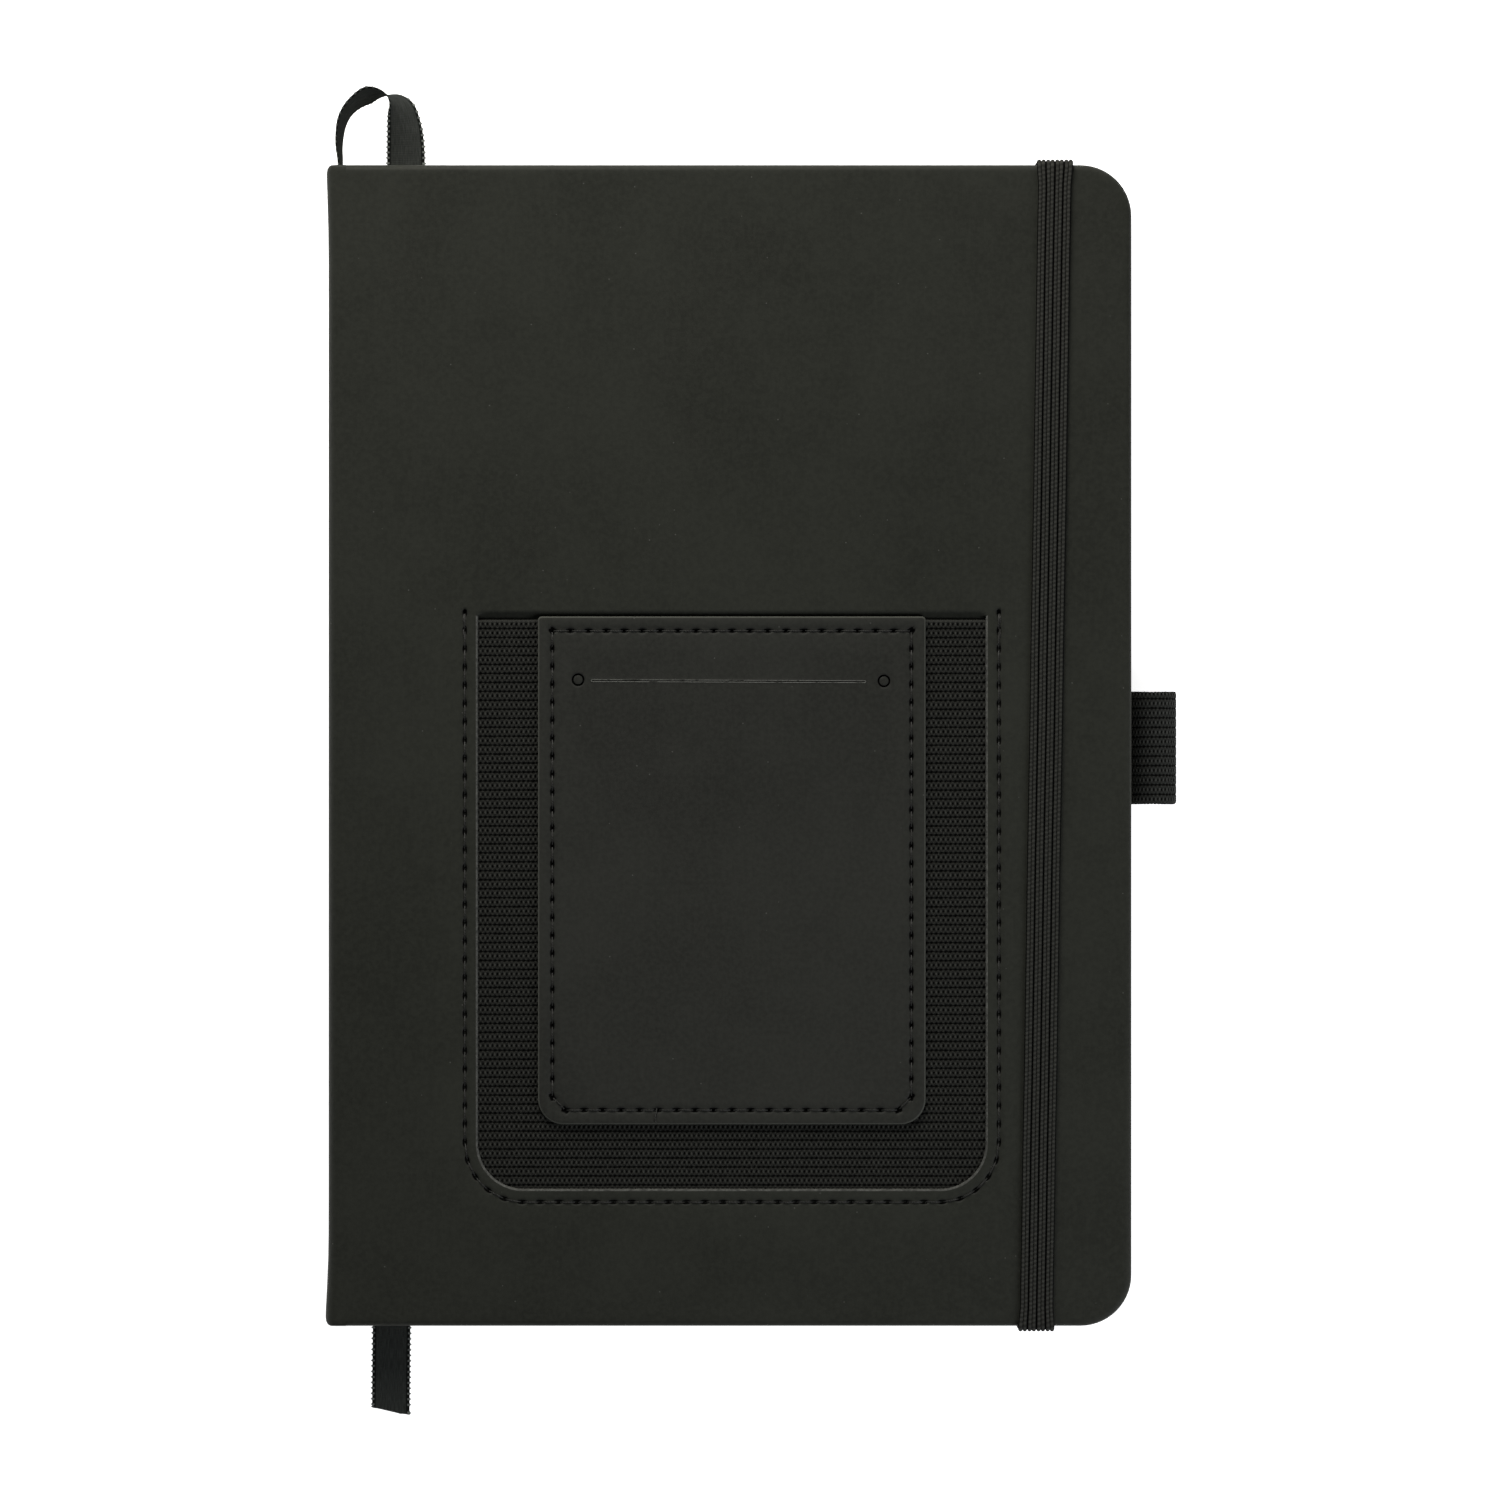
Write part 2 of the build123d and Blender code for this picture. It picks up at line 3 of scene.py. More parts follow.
import bmesh
import bpy
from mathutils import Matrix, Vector, noise
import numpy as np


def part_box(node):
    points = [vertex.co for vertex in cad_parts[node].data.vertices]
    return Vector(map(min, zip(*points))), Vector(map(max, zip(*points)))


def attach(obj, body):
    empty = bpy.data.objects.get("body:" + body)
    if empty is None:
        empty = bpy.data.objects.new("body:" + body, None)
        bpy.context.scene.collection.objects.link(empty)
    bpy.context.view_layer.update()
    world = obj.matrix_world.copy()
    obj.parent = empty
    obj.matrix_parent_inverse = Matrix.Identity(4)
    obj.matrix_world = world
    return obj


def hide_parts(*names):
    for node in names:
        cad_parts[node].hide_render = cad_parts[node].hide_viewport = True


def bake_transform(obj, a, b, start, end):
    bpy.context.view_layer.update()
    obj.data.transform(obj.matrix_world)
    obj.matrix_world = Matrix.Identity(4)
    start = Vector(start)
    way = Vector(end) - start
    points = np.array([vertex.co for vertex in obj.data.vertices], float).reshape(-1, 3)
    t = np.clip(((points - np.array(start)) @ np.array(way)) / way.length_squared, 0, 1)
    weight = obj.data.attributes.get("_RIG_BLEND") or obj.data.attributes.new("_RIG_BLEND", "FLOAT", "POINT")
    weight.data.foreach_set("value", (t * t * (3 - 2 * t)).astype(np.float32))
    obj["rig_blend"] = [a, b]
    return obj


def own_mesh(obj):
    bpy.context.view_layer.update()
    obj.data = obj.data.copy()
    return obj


bl_info = {
    "name": "Pocket Notebook",
    "version": (1, 0, 0),
    "blender": (4, 5, 0),
    "location": "3D Viewport > Sidebar > Notebook",
    "description": "Finishes a pocket notebook with a phone pocket, pen loop, band and ribbon",
    "category": "Object",
}

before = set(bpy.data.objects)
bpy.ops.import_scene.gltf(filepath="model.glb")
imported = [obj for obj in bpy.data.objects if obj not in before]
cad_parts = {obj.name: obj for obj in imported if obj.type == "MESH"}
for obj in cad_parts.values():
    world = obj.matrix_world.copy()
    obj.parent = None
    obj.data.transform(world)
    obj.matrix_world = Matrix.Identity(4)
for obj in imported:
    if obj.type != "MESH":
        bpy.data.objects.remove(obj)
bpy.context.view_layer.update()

# Pieces are shaped in millimetres and brought to metres when they are finished.
MM = 0.001


def node_box(node):
    """A CAD node's lowest and highest corners, in millimetres."""
    low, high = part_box(node)
    return Vector(low) / MM, Vector(high) / MM


# ---- Places read from the frame ---------------------------------------------------------
FORE_X, HEAD_Y, TOP_Z = node_box("front_cover_skin")[1]
SPINE_X = node_box("spine_skin")[0].x
BOARD_BOX = node_box("front_board")
JOIN_X = BOARD_BOX[0].x                      # where a cover's joint meets its board
SKIN = TOP_Z - BOARD_BOX[1].z
COVER = TOP_Z - node_box("front_pastedown")[1].z

SEAM_LOW, SEAM_HIGH = node_box("window_stitching")
PANEL_LOW, PANEL_HIGH = node_box("card_panel")
KNIT_LOW, KNIT_HIGH = node_box("pocket_elastic_back")

LOOP_LOW, LOOP_HIGH = node_box("pen_loop")
BAND_LOW, BAND_HIGH = node_box("band_run")
WRAP_HEAD, WRAP_TAIL = node_box("band_wrap_head"), node_box("band_wrap_tail")

# ---- Shapes that the frame doesn't give -------------------------------------------------
CORNER_RADIUS = 9.2                          # the covers' fore-edge corners
SPINE_ROUND = 2.0                            # where the skin turns from a cover to the spine
LIP_WIDTH = 14.0                             # skin turned in over a board's edges
LIP = 0.35                                   # its thickness
STITCH_PITCH = 3.3
STITCH_WIDTH = 0.6
SEAM_INSET = 2.4                             # from the window's edge to its seam
WINDOW_RADIUS = 8.2
SEAM_START = 3.6                             # from the mouth's first row to the first stitch
SEAM_CHANNEL = 1.1                           # half the width of the dip along a seam
SEAM_CHANNEL_DEPTH = 0.10
SEAM_SHADE = 0.12                            # a seam darkens where it is deeper than this
PANEL_SEAM = 2.6                             # from the panel's edge to its seam
PANEL_RADIUS = 4.6
PANEL_TOP_RADIUS = 0.7
PUNCH_RADIUS = 1.15
PUNCH_REACH = (-27.75, 27.45)                # the slit's punched ends, from the panel's middle
SLIT_REACH = (-25.2, 24.0)
SLIT_Y = 11.75
SLIT_TILT = 0.004

SEAM_X_LOW = SEAM_LOW.x + STITCH_WIDTH / 2
SEAM_X_HIGH = SEAM_HIGH.x - STITCH_WIDTH / 2
SEAM_Y = SEAM_LOW.y + STITCH_WIDTH / 2
WINDOW_LEFT = SEAM_X_LOW + SEAM_INSET
WINDOW_RIGHT = SEAM_X_HIGH - SEAM_INSET
WINDOW_BOTTOM = SEAM_Y + SEAM_INSET
MOUTH_Y = KNIT_HIGH.y + 4.9                  # where the cover's face starts to dip
PANEL_X = (PANEL_LOW.x + PANEL_HIGH.x) / 2
LOOP_X = LOOP_HIGH.x - (LOOP_HIGH.z - LOOP_LOW.z) / 2
LOOP_Z = (LOOP_HIGH.z + LOOP_LOW.z) / 2
LOOP_OUTER = (LOOP_HIGH.z - LOOP_LOW.z) / 2


# ---- What a user would change -----------------------------------------------------------
def length(name, description, default):
    """A length property, given in millimetres."""
    return bpy.props.FloatProperty(
        name=name, description=description, default=default * MM,
        min=0.0, precision=5, subtype="DISTANCE", unit="LENGTH",
    )


def colour(name, description, default):
    return bpy.props.FloatVectorProperty(
        name=name, description=description, default=default,
        size=3, min=0.0, max=1.0, subtype="COLOR",
    )


class NotebookSizes(bpy.types.PropertyGroup):
    """Sizes of the notebook's finish"""

    edge_round: length("Edge round", "Radius of the covers' outside edges", 1.1)
    flare_head: length("Flare, head", "How far the spine's skin stands out at the head", 0.35)
    flare_tail: length("Flare, tail", "How far the spine's skin stands out at the tail", 0.55)
    stitch_pitch: length("Stitch pitch", "Distance from one needle hole to the next", STITCH_PITCH)
    hole_length: length("Hole length", "Length of a needle hole along its seam", 2.1)
    hole_width: length("Hole width", "Width of a needle hole across its seam", 1.0)
    hole_depth: length("Hole depth", "Depth of a needle hole", 0.7)
    thread: length("Thread", "Diameter of the sewing thread", 0.27)
    knit_column: length("Knit column", "Distance between the knit's gaps along a row", 0.866)
    knit_row: length("Knit row", "Distance between the knit's heavy rows", 1.62)
    knit_relief: length("Knit relief", "Depth of the knit's gaps", 0.22)
    band_relief: length("Band relief", "Depth of the grooves between the band's cords", 0.3)
    ribbon_width: length("Ribbon width", "Width of the ribbon marker", 6.8)
    ribbon_thickness: length("Ribbon thickness", "Thickness of the ribbon marker", 0.22)
    picot: length("Picot", "How far the ribbon's picots stand out", 0.3)
    band_cords: bpy.props.IntProperty(
        name="Band cords", description="Cords across the closure band", default=8, min=2, max=20,
    )


class NotebookColours(bpy.types.PropertyGroup):
    """Colours of the notebook's finishes"""

    cover: colour("Cover", "Soft-touch skin of the covers", (0.0188, 0.0196, 0.0158))
    panel: colour("Card panel", "Skin of the card pocket", (0.0200, 0.0203, 0.0175))
    cut_edge: colour("Cut edge", "Cloth backing seen where the skin is cut", (0.085, 0.085, 0.078))
    knit: colour("Pocket elastic", "Yarn of the pocket's elastic", (0.0230, 0.0230, 0.0205))
    loop: colour("Pen loop", "Yarn of the pen loop", (0.0300, 0.0308, 0.0285))
    band: colour("Closure band", "Yarn of the closure band", (0.0265, 0.0265, 0.0235))
    ribbon: colour("Ribbon", "Satin of the ribbon marker", (0.0300, 0.0320, 0.0300))
    thread: colour("Sewing thread", "Thread of the covers' seams", (0.0230, 0.0225, 0.0200))
    paper: colour("Paper", "Leaves", (0.80, 0.76, 0.66))
    endpaper: colour("Endpaper", "Pastedowns and flyleaves", (0.74, 0.70, 0.60))
    board: colour("Greyboard", "Boards inside the covers", (0.27, 0.25, 0.22))
    gauze: colour("Gauze", "Lining and sewing of the folds", (0.70, 0.68, 0.62))
    floor: colour("Floor", "Studio floor", (0.92, 0.92, 0.92))


def sizes():
    return bpy.context.scene.notebook_sizes


def colours():
    return bpy.context.scene.notebook_colours


def mm(name):
    """One of the user's sizes, in millimetres."""
    return getattr(sizes(), name) / MM


# ---- Shape helpers ----------------------------------------------------------------------
def smooth(low, high, value):
    """0 below low, 1 above high, and an easy slope between them."""
    t = min(max((value - low) / (high - low), 0.0), 1.0)
    return t * t * (3 - 2 * t)


def bump(t):
    """1 at zero, falling to 0 at one either way."""
    return (1 - t * t) ** 2 if abs(t) < 1 else 0.0


def run(start, end, steps):
    """Even points from start up to, but not including, end."""
    start, end = Vector(start), Vector(end)
    return [start.lerp(end, i / steps) for i in range(steps)]


def turn(centre, radius, start, end, steps):
    """Points of an arc between two angles in degrees, without the last."""
    made = []
    for i in range(steps):
        angle = radians(start + (end - start) * i / steps)
        made.append(Vector((centre[0] + radius * cos(angle), centre[1] + radius * sin(angle))))
    return made


def distances(points):
    """How far along a line each of its points lies."""
    made = [0.0]
    for a, b in zip(points, points[1:]):
        made.append(made[-1] + (b - a).length)
    return made


def loft(bm, rows, uv=None):
    """A grid laid over rows of points. uv(i, j) gives a point's place on the cloth, in mm."""
    layer = None
    if uv:
        layer = bm.loops.layers.uv.get("UVMap") or bm.loops.layers.uv.new("UVMap")
    made = bmesh.ops.create_grid(
        bm, x_segments=len(rows[0]) - 1, y_segments=len(rows) - 1, size=1
    )
    verts = made["verts"]
    index = 0
    for j, row in enumerate(rows):
        for i, point in enumerate(row):
            vertex = verts[index]
            vertex.co = point
            if uv:
                place = Vector((*uv(i, j), 0.0)) * MM
                for corner in vertex.link_loops:
                    corner[layer].uv = place.xy
            index += 1
    return verts


def marked_mesh():
    """An empty mesh whose vertices can be marked."""
    bm = bmesh.new()
    bm.verts.layers.float.new("sunk")
    return bm


def mark(bm, verts, values):
    """Store how deep in a needle hole, a cut or a shadowed fold each vertex lies, for painted shade in the
    skin's colour; negative values mark a painted highlight.
    """
    layer = bm.verts.layers.float["sunk"]
    for vertex, value in zip(verts, values):
        vertex[layer] = value


WELD = 0.004
LEVEL = 0.002                                # heights this close count as one


def weld(bm, distance=WELD):
    bmesh.ops.remove_doubles(bm, verts=bm.verts, dist=distance)


def close_ends(bm):
    """Fill every open end."""
    edges = [e for e in bm.edges if e.is_boundary]
    bmesh.ops.holes_fill(bm, edges=edges, sides=0)


def fill_level(bm, z, extra=()):
    """Fill the flat region between the open edges at one height."""
    flat = [
        e for e in bm.edges
        if e.is_boundary and all(abs(v.co.z - z) < LEVEL for v in e.verts)
        and not all(abs(v.co.x - JOIN_X) < LEVEL for v in e.verts)
    ]
    made = bmesh.ops.triangle_fill(bm, edges=flat + list(extra), use_beauty=True)
    return [g for g in made["geom"] if isinstance(g, bmesh.types.BMFace)]


def nearest(bm, point):
    return min(bm.verts, key=lambda v: (v.co - Vector(point)).length)


def line_between(bm, a, b):
    """An edge between the vertices nearest to two points."""
    first, second = nearest(bm, a), nearest(bm, b)
    return bm.edges.get((first, second)) or bm.edges.new((first, second))


CREASE = radians(50)                         # folds sharper than this are shaded as edges


def finish_piece(bm, name, finishes, body, replaced=()):
    """Bring a closed mesh to metres, give it its finishes as materials, and hand it to its body."""
    bmesh.ops.recalc_face_normals(bm, faces=bm.faces)
    for edge in bm.edges:
        edge.smooth = edge.calc_face_angle(0.0) < CREASE
    bmesh.ops.scale(bm, vec=(MM, MM, MM), verts=bm.verts)
    mesh = bpy.data.meshes.new(name)
    bm.to_mesh(mesh)
    bm.free()
    for polygon in mesh.polygons:
        polygon.use_smooth = True
    for finish in finishes:
        mesh.materials.append(material(finish))
    piece = bpy.data.objects.new(name, mesh)
    bpy.context.scene.collection.objects.link(piece)
    if body:
        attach(piece, body)
    if replaced:
        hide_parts(*replaced)
    return piece


# ---- Node helpers -----------------------------------------------------------------------
class Nodes:
    """Short calls that place and join the nodes of one tree."""

    def __init__(self, tree):
        self.tree = tree

    def add(self, kind, **values):
        made = self.tree.nodes.new(kind)
        for name, value in values.items():
            setattr(made, name, value)
        return made

    def feed(self, socket, value):
        if isinstance(value, bpy.types.NodeSocket):
            self.tree.links.new(value, socket)
        elif value is not None:
            socket.default_value = value

    def math(self, operation, *values, clamp=False):
        made = self.add("ShaderNodeMath", operation=operation, use_clamp=clamp)
        for socket, value in zip(made.inputs, values):
            self.feed(socket, value)
        return made.outputs[0]

    def vector(self, operation, *values):
        made = self.add("ShaderNodeVectorMath", operation=operation)
        for socket, value in zip(made.inputs, values):
            self.feed(socket, value)
        return made.outputs[0]

    def times(self, vector, scale):
        made = self.add("ShaderNodeVectorMath", operation="SCALE")
        self.feed(made.inputs[0], vector)
        self.feed(made.inputs["Scale"], scale)
        return made.outputs[0]

    def split(self, vector):
        made = self.add("ShaderNodeSeparateXYZ")
        self.feed(made.inputs[0], vector)
        return made.outputs

    def noise(self, vector, scale, detail=2.0, roughness=0.5):
        made = self.add("ShaderNodeTexNoise")
        self.feed(made.inputs["Vector"], vector)
        self.feed(made.inputs["Scale"], scale)
        self.feed(made.inputs["Detail"], detail)
        self.feed(made.inputs["Roughness"], roughness)
        return made.outputs["Fac"]

    def span(self, value, low, high, to_low=0.0, to_high=1.0):
        made = self.add("ShaderNodeMapRange", interpolation_type="SMOOTHSTEP")
        for name, number in zip(
            ("Value", "From Min", "From Max", "To Min", "To Max"),
            (value, low, high, to_low, to_high),
        ):
            self.feed(made.inputs[name], number)
        return made.outputs["Result"]

    def mix(self, factor, first, second):
        made = self.add("ShaderNodeMix", data_type="RGBA")
        self.feed(made.inputs["Factor"], factor)
        self.feed(made.inputs[6], first)
        self.feed(made.inputs[7], second)
        return made.outputs[2]

    def group(self, name, **values):
        made = self.add("ShaderNodeGroup", node_tree=bpy.data.node_groups[name])
        for key, value in values.items():
            self.feed(made.inputs[key.replace("_", " ")], value)
        return made.outputs

    def object_mm(self):
        """Object coordinates, in millimetres."""
        return self.times(self.add("ShaderNodeTexCoord").outputs["Object"], 1 / MM)

    def cloth_mm(self):
        """The piece's own place on the cloth, in millimetres."""
        return self.times(self.add("ShaderNodeUVMap", uv_map="UVMap").outputs["UV"], 1 / MM)

    def bumped(self, height, distance, strength=1.0):
        made = self.add("ShaderNodeBump")
        self.feed(made.inputs["Strength"], strength)
        self.feed(made.inputs["Distance"], distance * MM)
        self.feed(made.inputs["Height"], height)
        return made.outputs["Normal"]


def rgba(values, share=1.0):
    return (*(min(v * share, 1.0) for v in values), 1.0)


def new_group(name, inputs, outputs):
    """An empty shader node group with named sockets."""
    tree = bpy.data.node_groups.new(name, "ShaderNodeTree")
    for key, kind, default in inputs:
        socket = tree.interface.new_socket(name=key, in_out="INPUT", socket_type=kind)
        if default is not None:
            socket.default_value = default
    for key, kind in outputs:
        tree.interface.new_socket(name=key, in_out="OUTPUT", socket_type=kind)
    nodes = Nodes(tree)
    return nodes, nodes.add("NodeGroupInput").outputs, nodes.add("NodeGroupOutput").inputs


VECTOR, FLOAT = "NodeSocketVector", "NodeSocketFloat"


def build_knit_group():
    """Knitted elastic: staggered gaps between strands, and a heavier line every second row."""
    nodes, given, out = new_group(
        "Knit",
        [("Vector", VECTOR, None), ("Column", FLOAT, 0.866), ("Row", FLOAT, 1.62),
         ("Wobble", FLOAT, 0.12)],
        [("Gap", FLOAT), ("Line", FLOAT), ("Strand", FLOAT)],
    )
    drift = nodes.add("ShaderNodeTexNoise")
    nodes.feed(drift.inputs["Vector"], given["Vector"])
    drift.inputs["Scale"].default_value = 0.9
    centred = nodes.vector("SUBTRACT", drift.outputs["Color"], (0.5, 0.5, 0.5))
    place = nodes.vector("ADD", given["Vector"], nodes.times(centred, given["Wobble"]))
    x, y, _ = nodes.split(place)
    across = nodes.math("COSINE", nodes.math("MULTIPLY", nodes.math("DIVIDE", x, given["Column"]), tau))
    along = nodes.math("COSINE", nodes.math("MULTIPLY", nodes.math("DIVIDE", y, given["Row"]), tau))
    both = nodes.math("MULTIPLY", across, along)
    uneven = nodes.math("MULTIPLY", nodes.noise(given["Vector"], 1.1, 3.0), 0.5)
    nodes.feed(out["Gap"], nodes.span(nodes.math("ADD", both, uneven), 0.5, 1.2))
    nodes.feed(out["Line"], nodes.span(nodes.math("ADD", along, uneven), 0.85, 1.3))
    nodes.feed(out["Strand"], nodes.span(nodes.math("MULTIPLY", both, -1.0), 0.1, 1.0))


def build_leather_group():
    """Soft-touch skin: slow mottle, faint streaks along Y, fine grain and sparse pale specks."""
    nodes, given, out = new_group(
        "Skin",
        [("Vector", VECTOR, None), ("Specks", FLOAT, 1.0)],
        [("Mottle", FLOAT), ("Streak", FLOAT), ("Grain", FLOAT), ("Speck", FLOAT)],
    )
    nodes.feed(out["Mottle"], nodes.noise(given["Vector"], 0.045, 5.0, 0.6))
    drawn = nodes.vector("MULTIPLY", given["Vector"], (2.6, 0.12, 1.0))
    nodes.feed(out["Streak"], nodes.noise(drawn, 1.0, 3.0, 0.55))
    fine = nodes.noise(given["Vector"], 7.0, 2.0, 0.6)
    broad = nodes.noise(given["Vector"], 1.3, 3.0, 0.5)
    nodes.feed(out["Grain"], nodes.math("ADD", nodes.math("MULTIPLY", fine, 0.6), broad))
    cells = nodes.add("ShaderNodeTexVoronoi", feature="F1")
    nodes.feed(cells.inputs["Vector"], given["Vector"])
    cells.inputs["Scale"].default_value = 0.42
    near = nodes.span(cells.outputs["Distance"], 0.07, 0.03)
    chosen = nodes.math("GREATER_THAN", nodes.split(cells.outputs["Color"])[0], 0.62)
    mask = nodes.math("MULTIPLY", near, chosen)
    nodes.feed(out["Speck"], nodes.math("MULTIPLY", mask, given["Specks"], clamp=True))


def build_fibre_group():
    """Loose fibres and clouding of paper, board and gauze."""
    nodes, given, out = new_group(
        "Fibres",
        [("Vector", VECTOR, None), ("Size", FLOAT, 1.0)],
        [("Cloud", FLOAT), ("Fibre", FLOAT)],
    )
    scaled = nodes.vector("DIVIDE", given["Vector"], given["Size"])
    nodes.feed(out["Cloud"], nodes.noise(scaled, 0.6, 4.0, 0.6))
    drawn = nodes.vector("MULTIPLY", scaled, (1.0, 6.0, 1.0))
    nodes.feed(out["Fibre"], nodes.noise(drawn, 2.5, 4.0, 0.65))


# ---- Materials --------------------------------------------------------------------------
LEAF = 0.1075                                # thickness of a leaf
RULING = 7.0
PAGE_TOP_MARGIN = 91.0                       # the ruling's reach from the page's middle
FLOOR_GLOW = 0.90
GAP_SHADE = (0.0012, 0.0012, 0.0010, 1)      # between an elastic's yarns
LOOP_ROW, LOOP_COLUMN = 1.07, 0.86           # the pen loop's knit, against the pocket's


def new_material(name, roughness, specular):
    """A material's nodes, and its shader's inputs."""
    made = bpy.data.materials.new(f"finish_{name}")
    made.use_nodes = True
    shader = made.node_tree.nodes["Principled BSDF"]
    shader.inputs["Roughness"].default_value = roughness
    shader.inputs["Specular IOR Level"].default_value = specular
    return Nodes(made.node_tree), shader.inputs


def paint(nodes, shader, base, height, distance):
    """Feed a shader its colour, and a relief of that many millimetres."""
    nodes.feed(shader["Base Color"], base)
    nodes.feed(shader["Normal"], nodes.bumped(height, distance))


def build_skin_material(name, tone, roughness, specular):
    nodes, shader = new_material(name, roughness, specular)
    place = nodes.object_mm()
    skin = nodes.group("Skin", Vector=place)
    sunk = nodes.add("ShaderNodeAttribute", attribute_name="sunk").outputs["Fac"]
    base = nodes.mix(nodes.span(skin["Mottle"], 0.3, 0.7), rgba(tone, 0.88), rgba(tone, 1.12))
    base = nodes.mix(nodes.span(skin["Grain"], 0.55, 1.05, 0.0, 0.5), base, rgba(tone, 1.6))
    base = nodes.mix(nodes.span(skin["Streak"], 0.45, 0.8, 0.0, 0.22), base, rgba(tone, 1.5))
    base = nodes.mix(nodes.math("MULTIPLY", skin["Speck"], 0.4), base, (0.14, 0.14, 0.13, 1))
    # Painted shade: where the sunk mark passes 0.03, in needle holes, seam channels and punched ends, the
    # skin's colour turns near black.
    base = nodes.mix(nodes.span(sunk, 0.03, 0.3), base, (0.0008, 0.0008, 0.0007, 1))
    # Painted highlight: negative marks, along the card panel's rim, turn the skin's colour pale.
    base = nodes.mix(nodes.span(sunk, -0.1, -0.9), base, rgba(tone, 4.6))
    nodes.feed(shader["Base Color"], base)
    worn = nodes.span(skin["Mottle"], 0.2, 0.8, roughness - 0.05, roughness + 0.05)
    nodes.feed(shader["Roughness"], nodes.math("MAXIMUM", worn, nodes.span(sunk, 0.03, 0.3)))
    nodes.feed(shader["Normal"], nodes.bumped(skin["Grain"], 0.035, 0.6))


def build_cut_edge():
    nodes, shader = new_material("cut_edge", 0.85, 0.2)
    place = nodes.object_mm()
    tone = colours().cut_edge
    fibres = nodes.group("Fibres", Vector=place, Size=0.5)
    base = nodes.mix(nodes.span(fibres["Cloud"], 0.3, 0.7), rgba(tone, 0.55), rgba(tone, 1.25))
    paint(nodes, shader, base, fibres["Fibre"], 0.08)


def build_slit_lip():
    """The slit's pale lips, rubbed away in places."""
    nodes, shader = new_material("slit_lip", 0.8, 0.2)
    place = nodes.object_mm()
    worn = nodes.noise(nodes.vector("MULTIPLY", place, (0.6, 2.0, 1.0)), 1.0, 4.0, 0.7)
    base = nodes.mix(nodes.span(worn, 0.34, 0.5), rgba(colours().panel), rgba(colours().cut_edge, 1.9))
    nodes.feed(shader["Base Color"], base)


def build_knit_material(name, tone, place_of, row, column, hem_y=None):
    """Knitted elastic, its rows and columns along the given coordinates; with hem_y, a painted highlight
    along the hem.
    """
    nodes, shader = new_material(name, 0.85, 0.05)
    place = getattr(nodes, place_of)()
    knit = nodes.group("Knit", Vector=place, Column=column, Row=row, Wobble=0.1)
    fibre = nodes.noise(place, 9.0, 3.0, 0.7)
    strand = nodes.mix(knit["Strand"], rgba(tone, 0.45), rgba(tone, 2.1))
    strand = nodes.mix(nodes.span(fibre, 0.4, 0.7, 0.0, 0.8), strand, rgba(tone, 1.7))
    # Painted shade: the gaps between yarns, and the grooves of the heavy rows, are painted towards
    # GAP_SHADE.
    dark = nodes.math("MAXIMUM", knit["Gap"], nodes.math("MULTIPLY", knit["Line"], 0.92))
    if hem_y is not None:
        # Painted highlight: along the hem the yarn is painted lighter, and the painted gap shade stops.
        hem = nodes.span(nodes.split(place)[1], hem_y - 0.5, hem_y - 0.35)
        dark = nodes.math("MULTIPLY", dark, nodes.math("SUBTRACT", 1.0, hem))
        strand = nodes.mix(nodes.math("MULTIPLY", hem, 0.7), strand, rgba(tone, 1.9))
    nodes.feed(shader["Base Color"], nodes.mix(dark, strand, GAP_SHADE))
    swell = nodes.math("ADD", 1.0, nodes.math("MULTIPLY", knit["Strand"], 0.5))
    raised = nodes.math("SUBTRACT", swell, dark)
    height = nodes.math("ADD", raised, nodes.math("MULTIPLY", fibre, 0.25))
    nodes.feed(shader["Normal"], nodes.bumped(height, 0.2))


def build_band_material():
    """Cords along the band, each of small knitted beads."""
    nodes, shader = new_material("band_elastic", 0.8, 0.07)
    place = nodes.cloth_mm()
    x, y, _ = nodes.split(place)
    pitch = BAND_WIDTH / sizes().band_cords
    stagger = nodes.math("MULTIPLY", nodes.math("FLOOR", nodes.math("DIVIDE", x, pitch)), 1.9)
    drift = nodes.math("MULTIPLY", nodes.noise(place, 0.35, 2.0), 3.0)
    phase = nodes.math("ADD", nodes.math("MULTIPLY", y, tau / 0.82), nodes.math("ADD", stagger, drift))
    bead = nodes.math("MULTIPLY_ADD", nodes.math("SINE", phase), 0.5, 0.5)
    groove = nodes.math("ABSOLUTE", nodes.math("SINE", nodes.math("MULTIPLY", x, pi / pitch)))
    tone = colours().band
    uneven = nodes.noise(place, 0.8, 3.0, 0.6)
    cord = nodes.mix(nodes.math("MULTIPLY", bead, uneven), rgba(tone, 0.75), rgba(tone, 2.2))
    pair = nodes.math("ABSOLUTE", nodes.math("SINE", nodes.math("MULTIPLY", x, pi / pitch / 2)))
    # Painted shade: the grooves between cords are painted most of the way to GAP_SHADE, and every second
    # groove fully.
    dark = nodes.math(
        "MAXIMUM", nodes.span(pair, 0.5, 0.2), nodes.span(groove, 0.45, 0.0, 0.0, 0.75)
    )
    nodes.feed(shader["Base Color"], nodes.mix(dark, cord, GAP_SHADE))
    height = nodes.math("ADD", nodes.math("MULTIPLY", bead, 0.35), nodes.math("MULTIPLY", groove, 0.6))
    nodes.feed(shader["Normal"], nodes.bumped(height, 0.12))


